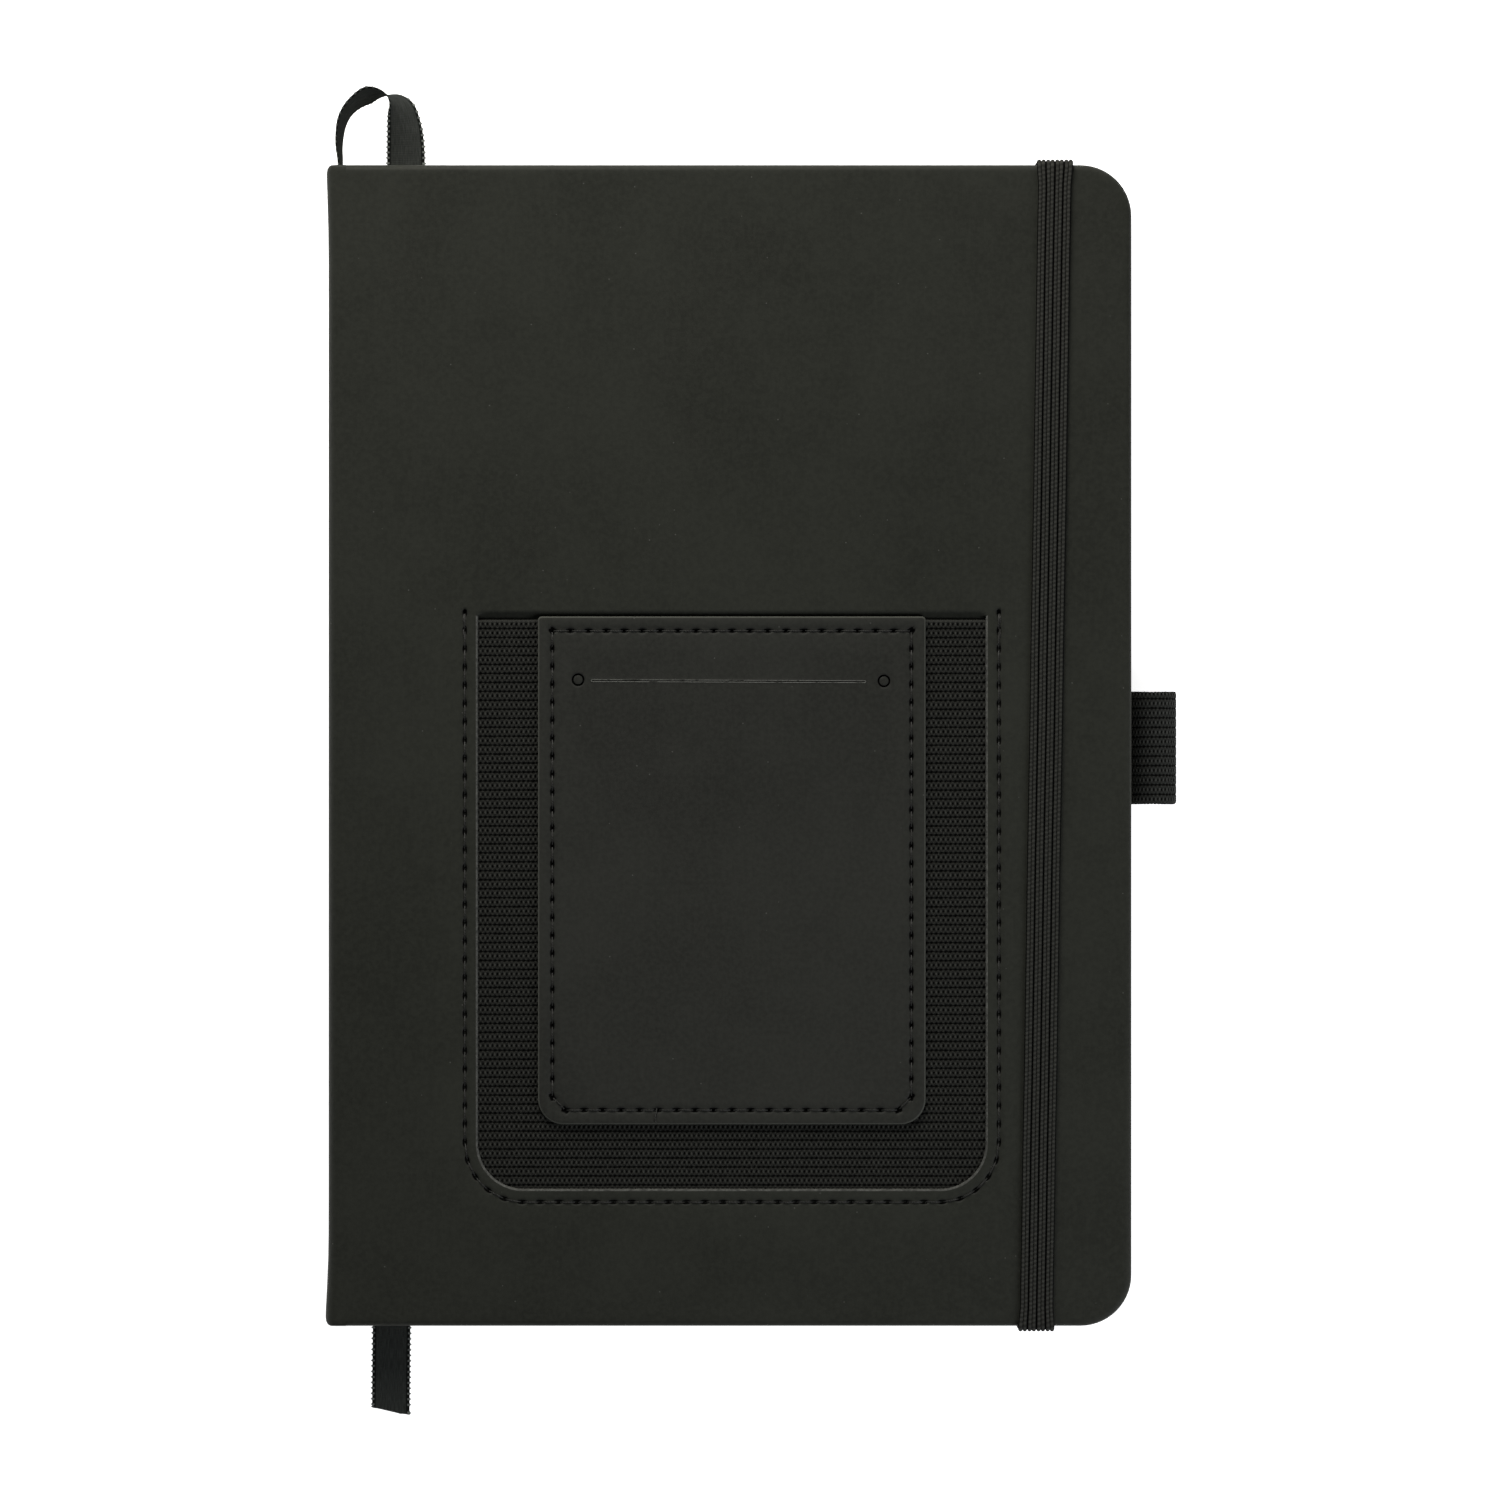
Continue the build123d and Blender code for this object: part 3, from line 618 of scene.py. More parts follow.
def build_satin():
    """Ribbon: fine weft lines across it, a plain selvedge and pale picots."""
    nodes, shader = new_material("satin_ribbon", 0.5, 0.0)
    place = nodes.cloth_mm()
    x, y, _ = nodes.split(place)
    tone = colours().ribbon
    weft = nodes.math("MULTIPLY_ADD", nodes.math("SINE", nodes.math("MULTIPLY", y, tau / 0.42)), 0.5, 0.5)
    ends = nodes.noise(nodes.vector("MULTIPLY", place, (9.0, 0.5, 1.0)), 1.0, 3.0, 0.6)
    base = nodes.mix(nodes.span(ends, 0.3, 0.7), rgba(tone, 0.7), rgba(tone, 1.3))
    side = nodes.math("ABSOLUTE", x)
    half = sizes().ribbon_width / MM / 2
    selvedge = nodes.span(side, half - 0.75, half - 0.55)
    base = nodes.mix(nodes.math("MULTIPLY", selvedge, 0.85), base, rgba(tone, 0.15))
    picot = nodes.span(nodes.math("SINE", nodes.math("MULTIPLY", y, tau)), 0.2, 0.8)
    outer = nodes.span(side, half - 0.5, half - 0.3)
    pale = nodes.math("MULTIPLY", nodes.math("MULTIPLY", picot, outer), 0.8)
    base = nodes.mix(pale, base, rgba(tone, 6.0))
    nodes.feed(shader["Base Color"], base)
    rough = nodes.math("ADD", 0.42, nodes.math("MULTIPLY", selvedge, 0.3))
    nodes.feed(shader["Roughness"], rough)
    height = nodes.math("ADD", nodes.math("MULTIPLY", weft, 0.5), nodes.math("MULTIPLY", ends, 0.6))
    nodes.feed(shader["Normal"], nodes.bumped(height, 0.03))


def build_thread_material(name, tone):
    """Twisted sewing thread."""
    nodes, shader = new_material(name, 0.6, 0.35)
    place = nodes.object_mm()
    x, y, z = nodes.split(place)
    twist = nodes.math("ADD", nodes.math("ADD", x, y), nodes.math("MULTIPLY", z, 1.6))
    ply = nodes.math("MULTIPLY_ADD", nodes.math("SINE", nodes.math("MULTIPLY", twist, tau / 0.5)), 0.5, 0.5)
    fuzz = nodes.noise(place, 6.0, 3.0, 0.6)
    base = nodes.mix(nodes.math("MULTIPLY", ply, fuzz), rgba(tone, 0.5), rgba(tone, 2.2))
    paint(nodes, shader, base, ply, 0.06)


def build_paper(name, tone, leaf_lines):
    """Paper, with the leaves' edges and faint ruling where it has any."""
    nodes, shader = new_material(name, 0.9, 0.25)
    place = nodes.object_mm()
    fibres = nodes.group("Fibres", Vector=place, Size=1.4)
    base = nodes.mix(nodes.span(fibres["Cloud"], 0.25, 0.75), rgba(tone, 0.95), rgba(tone, 1.04))
    height = fibres["Fibre"]
    if leaf_lines:
        _, y, z = nodes.split(place)
        upright = nodes.math(
            "ABSOLUTE", nodes.split(nodes.add("ShaderNodeTexCoord").outputs["Normal"])[2]
        )
        edge = nodes.span(upright, 0.6, 0.3)
        uneven = nodes.noise(nodes.vector("MULTIPLY", place, (0.08, 0.08, 9.0)), 1.0, 3.0, 0.7)
        leaf = nodes.math("SINE", nodes.math("MULTIPLY", z, tau / LEAF))
        # Painted shade: on the block's edges, the gaps between leaves are painted darker.
        gap = nodes.math("MULTIPLY", nodes.span(nodes.math("ADD", leaf, uneven), 0.7, 1.4), edge)
        base = nodes.mix(nodes.math("MULTIPLY", gap, 0.55), base, rgba(tone, 0.45))
        base = nodes.mix(
            nodes.math("MULTIPLY", nodes.span(uneven, 0.35, 0.7), nodes.math("MULTIPLY", edge, 0.35)),
            base, rgba(tone, 0.7),
        )
        height = nodes.math("SUBTRACT", height, nodes.math("MULTIPLY", gap, 2.0))
        line = nodes.math("FRACT", nodes.math("DIVIDE", y, RULING))
        step = nodes.math("ABSOLUTE", nodes.math("SUBTRACT", line, 0.5))
        ruled = nodes.math("MULTIPLY", nodes.span(step, 0.022, 0.008), nodes.math("SUBTRACT", 1.0, edge))
        margin = nodes.span(nodes.math("ABSOLUTE", y), PAGE_TOP_MARGIN, PAGE_TOP_MARGIN - 0.1)
        base = nodes.mix(
            nodes.math("MULTIPLY", nodes.math("MULTIPLY", ruled, margin), 0.6), base, (0.42, 0.44, 0.46, 1)
        )
    paint(nodes, shader, base, height, 0.03)


def build_greyboard(name, turned_in):
    """Greyboard; with turned_in, its head and tail wear the skin that is turned in over them."""
    nodes, shader = new_material(name, 0.92, 0.2)
    place = nodes.object_mm()
    fibres = nodes.group("Fibres", Vector=place, Size=0.7)
    tone = colours().board
    base = nodes.mix(nodes.span(fibres["Fibre"], 0.3, 0.7), rgba(tone, 0.7), rgba(tone, 1.3))
    if turned_in:
        from_middle = nodes.math("ABSOLUTE", nodes.split(place)[1])
        skin_from = HEAD_Y - LIP_WIDTH
        base = nodes.mix(
            nodes.span(from_middle, skin_from - 0.1, skin_from + 0.1), base, rgba(colours().cover)
        )
    paint(nodes, shader, base, fibres["Fibre"], 0.1)


def build_gauze(name, tone):
    """Open plain weave."""
    nodes, shader = new_material(name, 0.9, 0.2)
    place = nodes.object_mm()
    _, y, z = nodes.split(place)
    warp = nodes.math("ABSOLUTE", nodes.math("SINE", nodes.math("MULTIPLY", y, pi / 0.7)))
    weft = nodes.math("ABSOLUTE", nodes.math("SINE", nodes.math("MULTIPLY", z, pi / 0.7)))
    thread = nodes.math("MAXIMUM", warp, weft)
    fuzz = nodes.noise(place, 3.0, 3.0)
    base = nodes.mix(nodes.span(thread, 0.5, 0.95), rgba(tone, 0.4), rgba(tone))
    base = nodes.mix(nodes.math("MULTIPLY", fuzz, 0.3), base, rgba(tone, 0.8))
    paint(nodes, shader, base, thread, 0.1)


def build_floor_material():
    """Pale studio floor with a soft glow, so that shadows on it stay light."""
    nodes, shader = new_material("studio_floor", 0.9, 0.0)
    cloud = nodes.noise(nodes.object_mm(), 0.004, 2.0)
    tone = colours().floor
    nodes.feed(shader["Base Color"], nodes.mix(cloud, rgba(tone, 0.99), rgba(tone, 1.01)))
    shader["Emission Color"].default_value = (1, 1, 1, 1)
    shader["Emission Strength"].default_value = FLOOR_GLOW


def build_materials():
    build_knit_group()
    build_leather_group()
    build_fibre_group()
    tones, cloth = colours(), sizes()
    row, column = cloth.knit_row / MM, cloth.knit_column / MM
    build_skin_material("cover_leather", tones.cover, 0.56, 0.10)
    build_skin_material("panel_leather", tones.panel, 0.58, 0.10)
    build_cut_edge()
    build_slit_lip()
    build_knit_material("pocket_elastic", tones.knit, "object_mm", row, column, KNIT_HIGH.y)
    build_knit_material("loop_elastic", tones.loop, "cloth_mm", row * LOOP_ROW, column * LOOP_COLUMN)
    build_band_material()
    build_satin()
    build_thread_material("cover_thread", tones.thread)
    build_thread_material("panel_thread", tones.thread)
    build_thread_material("book_thread", tones.gauze)
    build_paper("page_paper", tones.paper, True)
    build_paper("endpaper", tones.endpaper, False)
    build_greyboard("greyboard", False)
    build_greyboard("spine_board", True)
    build_gauze("gauze", tones.gauze)
    build_floor_material()


def material(name):
    return bpy.data.materials[f"finish_{name}"]


# ---- Covers -----------------------------------------------------------------------------
def cover_outline(inset):
    """A cover's outline from the spine's tail round the fore-edge to the spine's head."""
    radius = max(CORNER_RADIUS - inset, 0.4)
    x, y = FORE_X - inset, HEAD_Y - inset
    points = run((JOIN_X, -y), (x - radius, -y), 30)
    points += turn((x - radius, radius - y), radius, -90, 0, 14)
    points += run((x, radius - y), (x, y - radius), 40)
    points += turn((x - radius, y - radius), radius, 0, 90, 14)
    points += run((x - radius, y), (JOIN_X, y), 30)
    return points + [Vector((JOIN_X, y))]


def cover_edge():
    """Inset and depth of the skin's section, from its face round the edge to its inside."""
    round_off = mm("edge_round")
    face_hold = [(round_off + 1.4, 0.0), (round_off + 0.6, 0.0)]
    arc = [
        (round_off * (1 - sin(a)), round_off * (1 - cos(a)))
        for a in (i * pi / 12 for i in range(7))
    ]
    turned = [
        (0.0, COVER - 0.35), (0.1, COVER - 0.1), (0.35, COVER),
        (LIP_WIDTH, COVER), (LIP_WIDTH, COVER - LIP), (SKIN, COVER - LIP),
    ]
    return face_hold + arc + turned + [(SKIN, SKIN), (SKIN + 1.0, SKIN)]


def add_cover_edge(bm, level):
    """The skin round a cover's edge, with the lines that close it at the joint."""
    section = cover_edge()
    rows = []
    for inset, depth in section:
        rows.append([Vector((p.x, p.y, level(depth))) for p in cover_outline(inset)])
    loft(bm, rows)
    weld(bm)
    closing = {}
    for inset, depth in (section[0], section[-1]):
        y, z = HEAD_Y - inset, level(depth)
        closing[round(depth, 3)] = line_between(bm, (JOIN_X, -y, z), (JOIN_X, y, z))
    return closing[0.0], closing[round(SKIN, 3)]


# ---- The window's seam ------------------------------------------------------------------
SEAM_RADIUS = WINDOW_RADIUS + SEAM_INSET
CUT = 0.4                                    # width of the cut edge that shows
SEAM_SIDE = MOUTH_Y - (SEAM_Y + SEAM_RADIUS)
SEAM_BOTTOM = SEAM_X_HIGH - SEAM_X_LOW - 2 * SEAM_RADIUS
SEAM_LENGTH = 2 * SEAM_SIDE + SEAM_BOTTOM + pi * SEAM_RADIUS
STITCHES = round((SEAM_LENGTH - 2 * SEAM_START) / STITCH_PITCH)
PITCH = (SEAM_LENGTH - 2 * SEAM_START) / STITCHES
SAMPLES = ceil(SEAM_LENGTH / 0.275)
STEP = SEAM_LENGTH / SAMPLES
MOUTH_STEPS = 15                             # rows of the mouth that are joined to the cover
MOUTH_DROP = 1.45                            # from the cover's face to the tongue
CUT_END = MOUTH_Y - MOUTH_STEPS * STEP       # where the cut edge starts


def seam_place(s, offset):
    """A point beside the window's seam: s along it, offset outwards from it."""
    bend = pi / 2 * SEAM_RADIUS
    left, right = SEAM_X_LOW, SEAM_X_HIGH
    low = SEAM_Y + SEAM_RADIUS
    radius = SEAM_RADIUS + offset
    if s <= SEAM_SIDE:
        return Vector((left - offset, MOUTH_Y - s))
    s -= SEAM_SIDE
    if s <= bend:
        angle = pi + s / SEAM_RADIUS
        return Vector((left + SEAM_RADIUS + radius * cos(angle), low + radius * sin(angle)))
    s -= bend
    if s <= SEAM_BOTTOM:
        return Vector((left + SEAM_RADIUS + s, SEAM_Y - offset))
    s -= SEAM_BOTTOM
    if s <= bend:
        angle = 1.5 * pi + s / SEAM_RADIUS
        return Vector((right - SEAM_RADIUS + radius * cos(angle), low + radius * sin(angle)))
    return Vector((right + offset, low + s - bend))


def hole_shape(along, across):
    """How deep a needle hole is, at a distance along and across its seam."""
    half_length, half_width = mm("hole_length") / 2, mm("hole_width") / 2
    return mm("hole_depth") * bump(0.9 * sqrt((along / half_length) ** 2 + (across / half_width) ** 2))


def seam_sink(along, across):
    """How far the skin sinks at a seam: a shallow channel, with a hole at each stitch's end."""
    channel = SEAM_CHANNEL_DEPTH * bump(across / SEAM_CHANNEL)
    nearest_hole = (along + 0.5) % 1.0 - 0.5
    return channel + hole_shape(nearest_hole * PITCH, across)


def window_seam_depth(s, offset):
    along = (s - SEAM_START) / PITCH
    held = min(s, SEAM_LENGTH - s)
    if held < SEAM_START - 0.9:
        return 0.0
    wander = 0.08 * noise.noise(Vector((round(along), 3.1, 0.0)))
    fade = smooth(SEAM_START - 0.9, SEAM_START - 0.3, held)
    return fade * seam_sink(along, offset - wander)


def add_window_seam(bm, level):
    """The strip of skin that carries the window's seam, out to flat skin on both sides."""
    offsets = [2.3, 1.7, 1.1, 0.75, 0.5, 0.38, 0.26, 0.13, 0.0, -0.13, -0.26, -0.38, -0.5, -0.75,
               -1.1, -1.6, CUT - SEAM_INSET]
    rows, sunk = [], []
    for offset in offsets:
        row = []
        for k in range(SAMPLES + 1):
            point = seam_place(k * STEP, offset)
            edge = offset in (offsets[0], offsets[1], offsets[-1])
            depth = 0.0 if edge else window_seam_depth(k * STEP, offset)
            row.append(Vector((point.x, point.y, level(depth))))
            # Painted shade: this mark darkens the skin's colour where the seam sinks deeper than SEAM_SHADE.
            sunk.append((depth - SEAM_SHADE) / mm("hole_depth"))
        rows.append(row)
    mark(bm, loft(bm, rows), sunk)


def add_cut_edge(bm, level):
    """The skin's cut edge, pale where its backing shows."""
    profile = [(CUT, 0.0), (CUT * 0.72, 0.03), (CUT * 0.3, 0.16), (0.06, 0.34), (0.0, SKIN)]
    rows = []
    for inset, depth in profile:
        row = []
        for k in range(MOUTH_STEPS, SAMPLES - MOUTH_STEPS + 1):
            point = seam_place(k * STEP, inset - SEAM_INSET)
            row.append(Vector((point.x, point.y, level(depth))))
        rows.append(row)
    verts = loft(bm, rows)
    faces = {face for vertex in verts for face in vertex.link_faces}
    for face in faces:
        face.material_index = 1


def mouth_rows():
    """Y and depth of the pocket's mouth, row by row over it and back under it."""
    top = [MOUTH_Y - k * STEP for k in range(MOUTH_STEPS + 1)]
    top += [CUT_END - d for d in (0.15, 0.3, 0.45, 0.6, 0.75, 1.3)]
    rows = [(y, MOUTH_DROP * (1 - smooth(CUT_END - 0.75, CUT_END + 0.85, y))) for y in top]
    rows += [(CUT_END - 20, MOUTH_DROP + 0.03), (WINDOW_BOTTOM + 0.4, MOUTH_DROP + 0.03)]
    return rows + [(y, min(depth + SKIN, MOUTH_DROP + LIP)) for y, depth in reversed(rows)]


def add_mouth(bm, level):
    """The skin above the pocket, dipping behind the elastic as a tongue."""
    rows = mouth_rows()
    shares = [0, 0.004, 0.009, 0.016, 0.03, 0.06] + [0.1 + 0.08 * i for i in range(11)]
    shares += [1 - s for s in reversed(shares[:6])]
    made = []
    for number, (y, depth) in enumerate(rows):
        joined = y > CUT_END - 0.01
        low = WINDOW_LEFT - (CUT if joined else 0.0)
        high = WINDOW_RIGHT + (CUT if joined else 0.0)
        upper = number < len(rows) / 2
        row = []
        for share in shares:
            x = low + (high - low) * share
            side = smooth(0.0, 1.8, min(x - low, high - x)) if joined else 1.0
            base = 0.0 if upper else SKIN
            row.append(Vector((x, y, level(base + (depth - base) * side))))
        made.append(row)
    loft(bm, made)


def front_cover():
    """The front skin with its window, seam, mouth and tongue."""
    def level(depth):
        return TOP_Z - depth

    bm = marked_mesh()
    face_line, inner_line = add_cover_edge(bm, level)
    add_window_seam(bm, level)
    add_cut_edge(bm, level)
    add_mouth(bm, level)
    face_ends = [v.co.copy() for v in face_line.verts]
    inner_ends = [v.co.copy() for v in inner_line.verts]
    weld(bm)
    face_line = line_between(bm, *face_ends)
    inner_line = line_between(bm, *inner_ends)
    z = level(SKIN)
    extra = [inner_line]
    for outer, inner in ((WINDOW_LEFT - CUT, WINDOW_LEFT), (WINDOW_RIGHT + CUT, WINDOW_RIGHT)):
        extra.append(line_between(bm, (outer, CUT_END, z), (inner, CUT_END, z)))
    fill_level(bm, level(0.0), [face_line])
    fill_level(bm, z, extra)
    close_ends(bm)
    finish_piece(
        bm, "front_cover_leather", ["cover_leather", "cut_edge"], "front_cover", ["front_cover_skin"]
    )


def back_cover():
    def level(depth):
        return depth

    bm = bmesh.new()
    face_line, inner_line = add_cover_edge(bm, level)
    fill_level(bm, 0.0, [face_line])
    fill_level(bm, SKIN, [inner_line])
    close_ends(bm)
    finish_piece(bm, "back_cover_leather", ["cover_leather"], "back_cover", ["back_cover_skin"])


# ---- Spine ------------------------------------------------------------------------------
def spine_section(t, depth, flare):
    """A point of the skin's section from the back cover (t 0) round the spine to the front (t 1)."""
    flat = JOIN_X - SPINE_X - SPINE_ROUND
    bend = pi / 2 * SPINE_ROUND
    rise = TOP_Z - 2 * SPINE_ROUND
    s = t * (2 * flat + 2 * bend + rise)
    centre_x = SPINE_X + SPINE_ROUND
    if s <= flat:
        point, outward = (JOIN_X - s, 0.0), (0.0, -1.0)
    elif s <= flat + bend:
        angle = 1.5 * pi - (s - flat) / SPINE_ROUND
        outward = (cos(angle), sin(angle))
        point = (centre_x + SPINE_ROUND * outward[0], SPINE_ROUND + SPINE_ROUND * outward[1])
    elif s <= flat + bend + rise:
        outward = (-1.0, 0.0)
        point = (SPINE_X, SPINE_ROUND + s - flat - bend)
    elif s <= flat + 2 * bend + rise:
        angle = pi - (s - flat - bend - rise) / SPINE_ROUND
        outward = (cos(angle), sin(angle))
        point = (centre_x + SPINE_ROUND * outward[0], TOP_Z - SPINE_ROUND + SPINE_ROUND * outward[1])
    else:
        point, outward = (centre_x + s - flat - 2 * bend - rise, TOP_Z), (0.0, 1.0)
    shift = flare * max(-outward[0], 0.0) - depth
    return point[0] + outward[0] * shift, point[1] + outward[1] * shift


CORNER_SOFT = 1.1                            # radius of the spine's corners, seen from above
SPINE_SHARE = (0.31, 0.69)                   # the stretch of the section that is the spine's own


def spine_strip(name, start, end, steps, body, replaced=()):
    """One stretch of the spine's skin, its head and tail rounded and turned in."""
    hem = 0.25
    ends = [(0.0, 0.5), (0.06, 0.28), (0.2, 0.1)]
    ends += [(gap, 0.0) for gap in (0.45, 1.2, 2.4, 4.0, 7.0, 12.0)]
    outer = [(HEAD_Y - gap, depth) for gap, depth in ends]
    loop = list(outer)
    loop += [(y * 8.0, 0.0) for y in range(11, -12, -1)]
    loop += [(-y, d) for y, d in reversed(outer)]
    loop += [(-HEAD_Y, SKIN), (SKIN + hem - HEAD_Y, SKIN), (HEAD_Y - SKIN - hem, SKIN), (HEAD_Y, SKIN)]
    rows = []
    for y, depth in loop + loop[:1]:
        end_gap = HEAD_Y - abs(y)
        flare = (mm("flare_head") if y > 0 else mm("flare_tail")) * exp(-((end_gap / 9.0) ** 2))
        near_end = smooth(HEAD_Y - 5.0, HEAD_Y, abs(y))
        row = []
        for i in range(steps + 1):
            x, z = spine_section(start + (end - start) * i / steps, depth, flare)
            inside = max(CORNER_SOFT - (x - SPINE_X + flare), 0.0)
            pull = near_end * (CORNER_SOFT - sqrt(max(CORNER_SOFT ** 2 - inside ** 2, 0.0)))
            row.append(Vector((x, y - pull if y > 0 else y + pull, z)))
        rows.append(row)
    bm = bmesh.new()
    loft(bm, rows)
    weld(bm)
    close_ends(bm)
    return finish_piece(bm, name, ["cover_leather"], body, replaced)


def spine_pieces():
    """The spine, and the joints that bend between it and the covers."""
    low, high = SPINE_SHARE
    spine_strip("spine_leather", low, high, 8, "spine", ["spine_skin"])
    side = SPINE_X * MM
    back = spine_strip("back_joint_leather", 0.0, low, 14, None)
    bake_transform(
        back, "back_cover", "spine",
        start=((SPINE_X + SPINE_ROUND) * MM, 0.0, 0.0), end=(side, 0.0, SPINE_ROUND * MM),
    )
    front = spine_strip("front_joint_leather", high, 1.0, 14, None)
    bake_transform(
        front, "spine", "front_cover",
        start=(side, 0.0, (TOP_Z - SPINE_ROUND) * MM),
        end=((SPINE_X + SPINE_ROUND) * MM, 0.0, TOP_Z * MM),
    )


# ---- Card panel -------------------------------------------------------------------------
PANEL_RIGHT, PANEL_TOP = PANEL_HIGH.x, PANEL_HIGH.y


def panel_outline(inset):
    """The panel's outline, round from its lower left corner, ending where it starts."""
    tail = max(PANEL_RADIUS - inset * 0.9, 0.08)
    head = max(PANEL_TOP_RADIUS - inset, 0.08)
    left, low = PANEL_LOW.x + inset, PANEL_LOW.y + inset
    right, high = PANEL_RIGHT - inset, PANEL_TOP - inset
    points = run((left + tail, low), (right - tail, low), 236)
    points += turn((right - tail, low + tail), tail, -90, 0, 16)
    points += run((right, low + tail), (right, high - head), 316)
    points += turn((right - head, high - head), head, 0, 90, 6)
    points += run((right - head, high), (left + head, high), 236)
    points += turn((left + head, high - head), head, 90, 180, 6)
    points += run((left, high - head), (left, low + tail), 316)
    points += turn((left + tail, low + tail), tail, 180, 270, 16)
    return points + points[:1]


def panel_seam_sides():
    """The seam's sides: start, end and number of stitches."""
    left, low = PANEL_LOW.x + PANEL_SEAM, PANEL_LOW.y + PANEL_SEAM
    right, high = PANEL_RIGHT - PANEL_SEAM, PANEL_TOP - PANEL_SEAM
    cut = mm("stitch_pitch") * sqrt(0.5)      # one stitch slants across each bottom corner
    corners = [
        Vector((left + cut, low)), Vector((right - cut, low)), Vector((right, low + cut)),
        Vector((right, high)), Vector((left, high)), Vector((left, low + cut)),
    ]
    sides = []
    for a, b in zip(corners, corners[1:] + corners[:1]):
        sides.append((a, b, round((b - a).length / mm("stitch_pitch"))))
    return sides


def panel_seam_depth(point, sides):
    """How far the panel sinks at a point near its seam."""
    sink = 0.0
    for a, b, count in sides:
        way = (b - a).normalized()
        offset = point - a
        along = offset.dot(way) / (b - a).length * count
        across = abs(offset.x * way.y - offset.y * way.x)
        if -0.2 < along < count + 0.2 and across < SEAM_CHANNEL:
            sink = max(sink, seam_sink(along, across))
    return sink


def circle_rows(centre, rows):
    """Closed rings of points about a centre."""
    made = []
    for radius, z in rows:
        ring = [Vector((*p, z)) for p in turn(centre, radius, 0, 360, 28)]
        made.append(ring + ring[:1])
    return made


def slit_rows(z, rows, left, right, y):
    """Closed rings round the slit."""
    made = []
    for half, depth in rows:
        ring = run((left, -half), (right, -half), 60) + turn((right, 0), half, -90, 90, 5)
        ring += run((right, half), (left, half), 60) + turn((left, 0), half, 90, 270, 5)
        ring = [Vector((p.x, y + p.y - SLIT_TILT * p.x, z - depth)) for p in ring]
        made.append(ring + ring[:1])
    return made


def card_panel():
    """The card pocket: padded rim, sunk seam, slit with pale lips and two punched ends."""
    bm = marked_mesh()
    face = PANEL_HIGH.z
    sides = panel_seam_sides()
    profile = [(0.15, PANEL_LOW.z), (0.0, PANEL_LOW.z + 0.14), (0.0, face - 0.3), (0.05, face - 0.1),
               (0.16, face + 0.02), (0.34, face + 0.07), (0.8, face + 0.10), (1.3, face + 0.09),
               (1.8, face + 0.05)]
    profile += [(inset, face) for inset in
                (2.1, 2.22, 2.35, 2.48, 2.6, 2.72, 2.85, 2.98, 3.1, 3.5, 4.1, 4.8, 5.6)]
    rows, sunk = [], []
    for inset, z in profile:
        row = []
        for p in panel_outline(inset):
            near = 1.5 < inset < 4.0
            sink = panel_seam_depth(p, sides) if near else 0.0
            row.append(Vector((p.x, p.y, z - sink)))
            # Painted highlight: vertices just inside the panel's edge are marked -0.6, which turns the
            # skin's colour pale; the seam's marks give painted shade.
            rim_highlight = 0.03 < inset < 0.2
            sunk.append(-0.6 if rim_highlight else (sink - SEAM_SHADE) / mm("hole_depth"))
        rows.append(row)
    mark(bm, loft(bm, rows), sunk)
    punch = [(PUNCH_RADIUS + 0.45, 0), (PUNCH_RADIUS + 0.2, -0.02), (PUNCH_RADIUS + 0.02, -0.1),
             (PUNCH_RADIUS - 0.06, -0.5), (PUNCH_RADIUS - 0.26, -0.5), (PUNCH_RADIUS - 0.34, -0.14),
             (PUNCH_RADIUS - 0.5, -0.07), (PUNCH_RADIUS * 0.25, -0.05)]
    slit = [(0.75, 0.0), (0.5, 0.0), (0.25, -0.03), (0.21, -0.05), (0.13, -0.05), (0.06, 0.0),
            (0.03, 0.3)]
    for x in (PANEL_X + reach for reach in PUNCH_REACH):
        centre = (x, SLIT_Y - SLIT_TILT * x)
        rings = circle_rows(centre, [(r, face + z) for r, z in punch])
        # Painted shade: the punched ends' deep rings are marked 1, which turns the skin's colour near black.
        mark(bm, loft(bm, rings), [1.0 if -z > 0.3 else 0.0 for _, z in punch for _ in rings[0]])
    lips = loft(bm, slit_rows(face, slit, *(PANEL_X + reach for reach in SLIT_REACH), SLIT_Y - 0.15))
    ring = len(lips) // len(slit)
    pale = set(lips[3 * ring:5 * ring])
    for lip in {f for v in pale for f in v.link_faces if pale.issuperset(f.verts)}:
        lip.material_index = 1
    weld(bm)
    for z in (face, PANEL_LOW.z):
        fill_level(bm, z)
    close_ends(bm)
    finish_piece(
        bm, "card_panel_leather", ["panel_leather", "slit_lip"], "phone_pocket", ["card_panel"]
    )


# ---- Stitches ---------------------------------------------------------------------------
def thread_tube(bm, line, radius):
    """A closed strand along a few points."""
    rows = []
    for i, point in enumerate(line):
        before, after = line[max(i - 1, 0)], line[min(i + 1, len(line) - 1)]
        way = (after - before).normalized()
        side = way.cross(Vector((0, 0, 1))).normalized()
        up = side.cross(way)
        ring = [point + radius * (side * cos(a) + up * sin(a)) for a in (k * tau / 6 for k in range(6))]
        rows.append(ring + ring[:1])
    loft(bm, rows)


def stitch(bm, start, end, face, number):
    """One stitch between two needle holes, dipping into both."""
    start, end = Vector((*start, 0)), Vector((*end, 0))
    way = (end - start).normalized()
    side = Vector((way.y, -way.x, 0))
    pull = 0.07 * noise.noise(Vector((number * 1.7, 0.3, 0.0)))
    inside = 0.3
    radius = mm("thread") / 2
    low, high = face - 0.42, face - 0.1 + radius * 0.75
    heights = [(0.0, low - 0.15), (0.12, low + 0.05), (0.3, high - 0.03), (0.5, high + 0.03),
               (0.7, high - 0.03), (0.88, low + 0.05), (1.0, low - 0.15)]
    reach = end - start - 2 * inside * way
    line = []
    for share, z in heights:
        point = start + inside * way + reach * share + side * pull * sin(pi * share)
        line.append(Vector((point.x, point.y, z)))
    thread_tube(bm, line, radius)


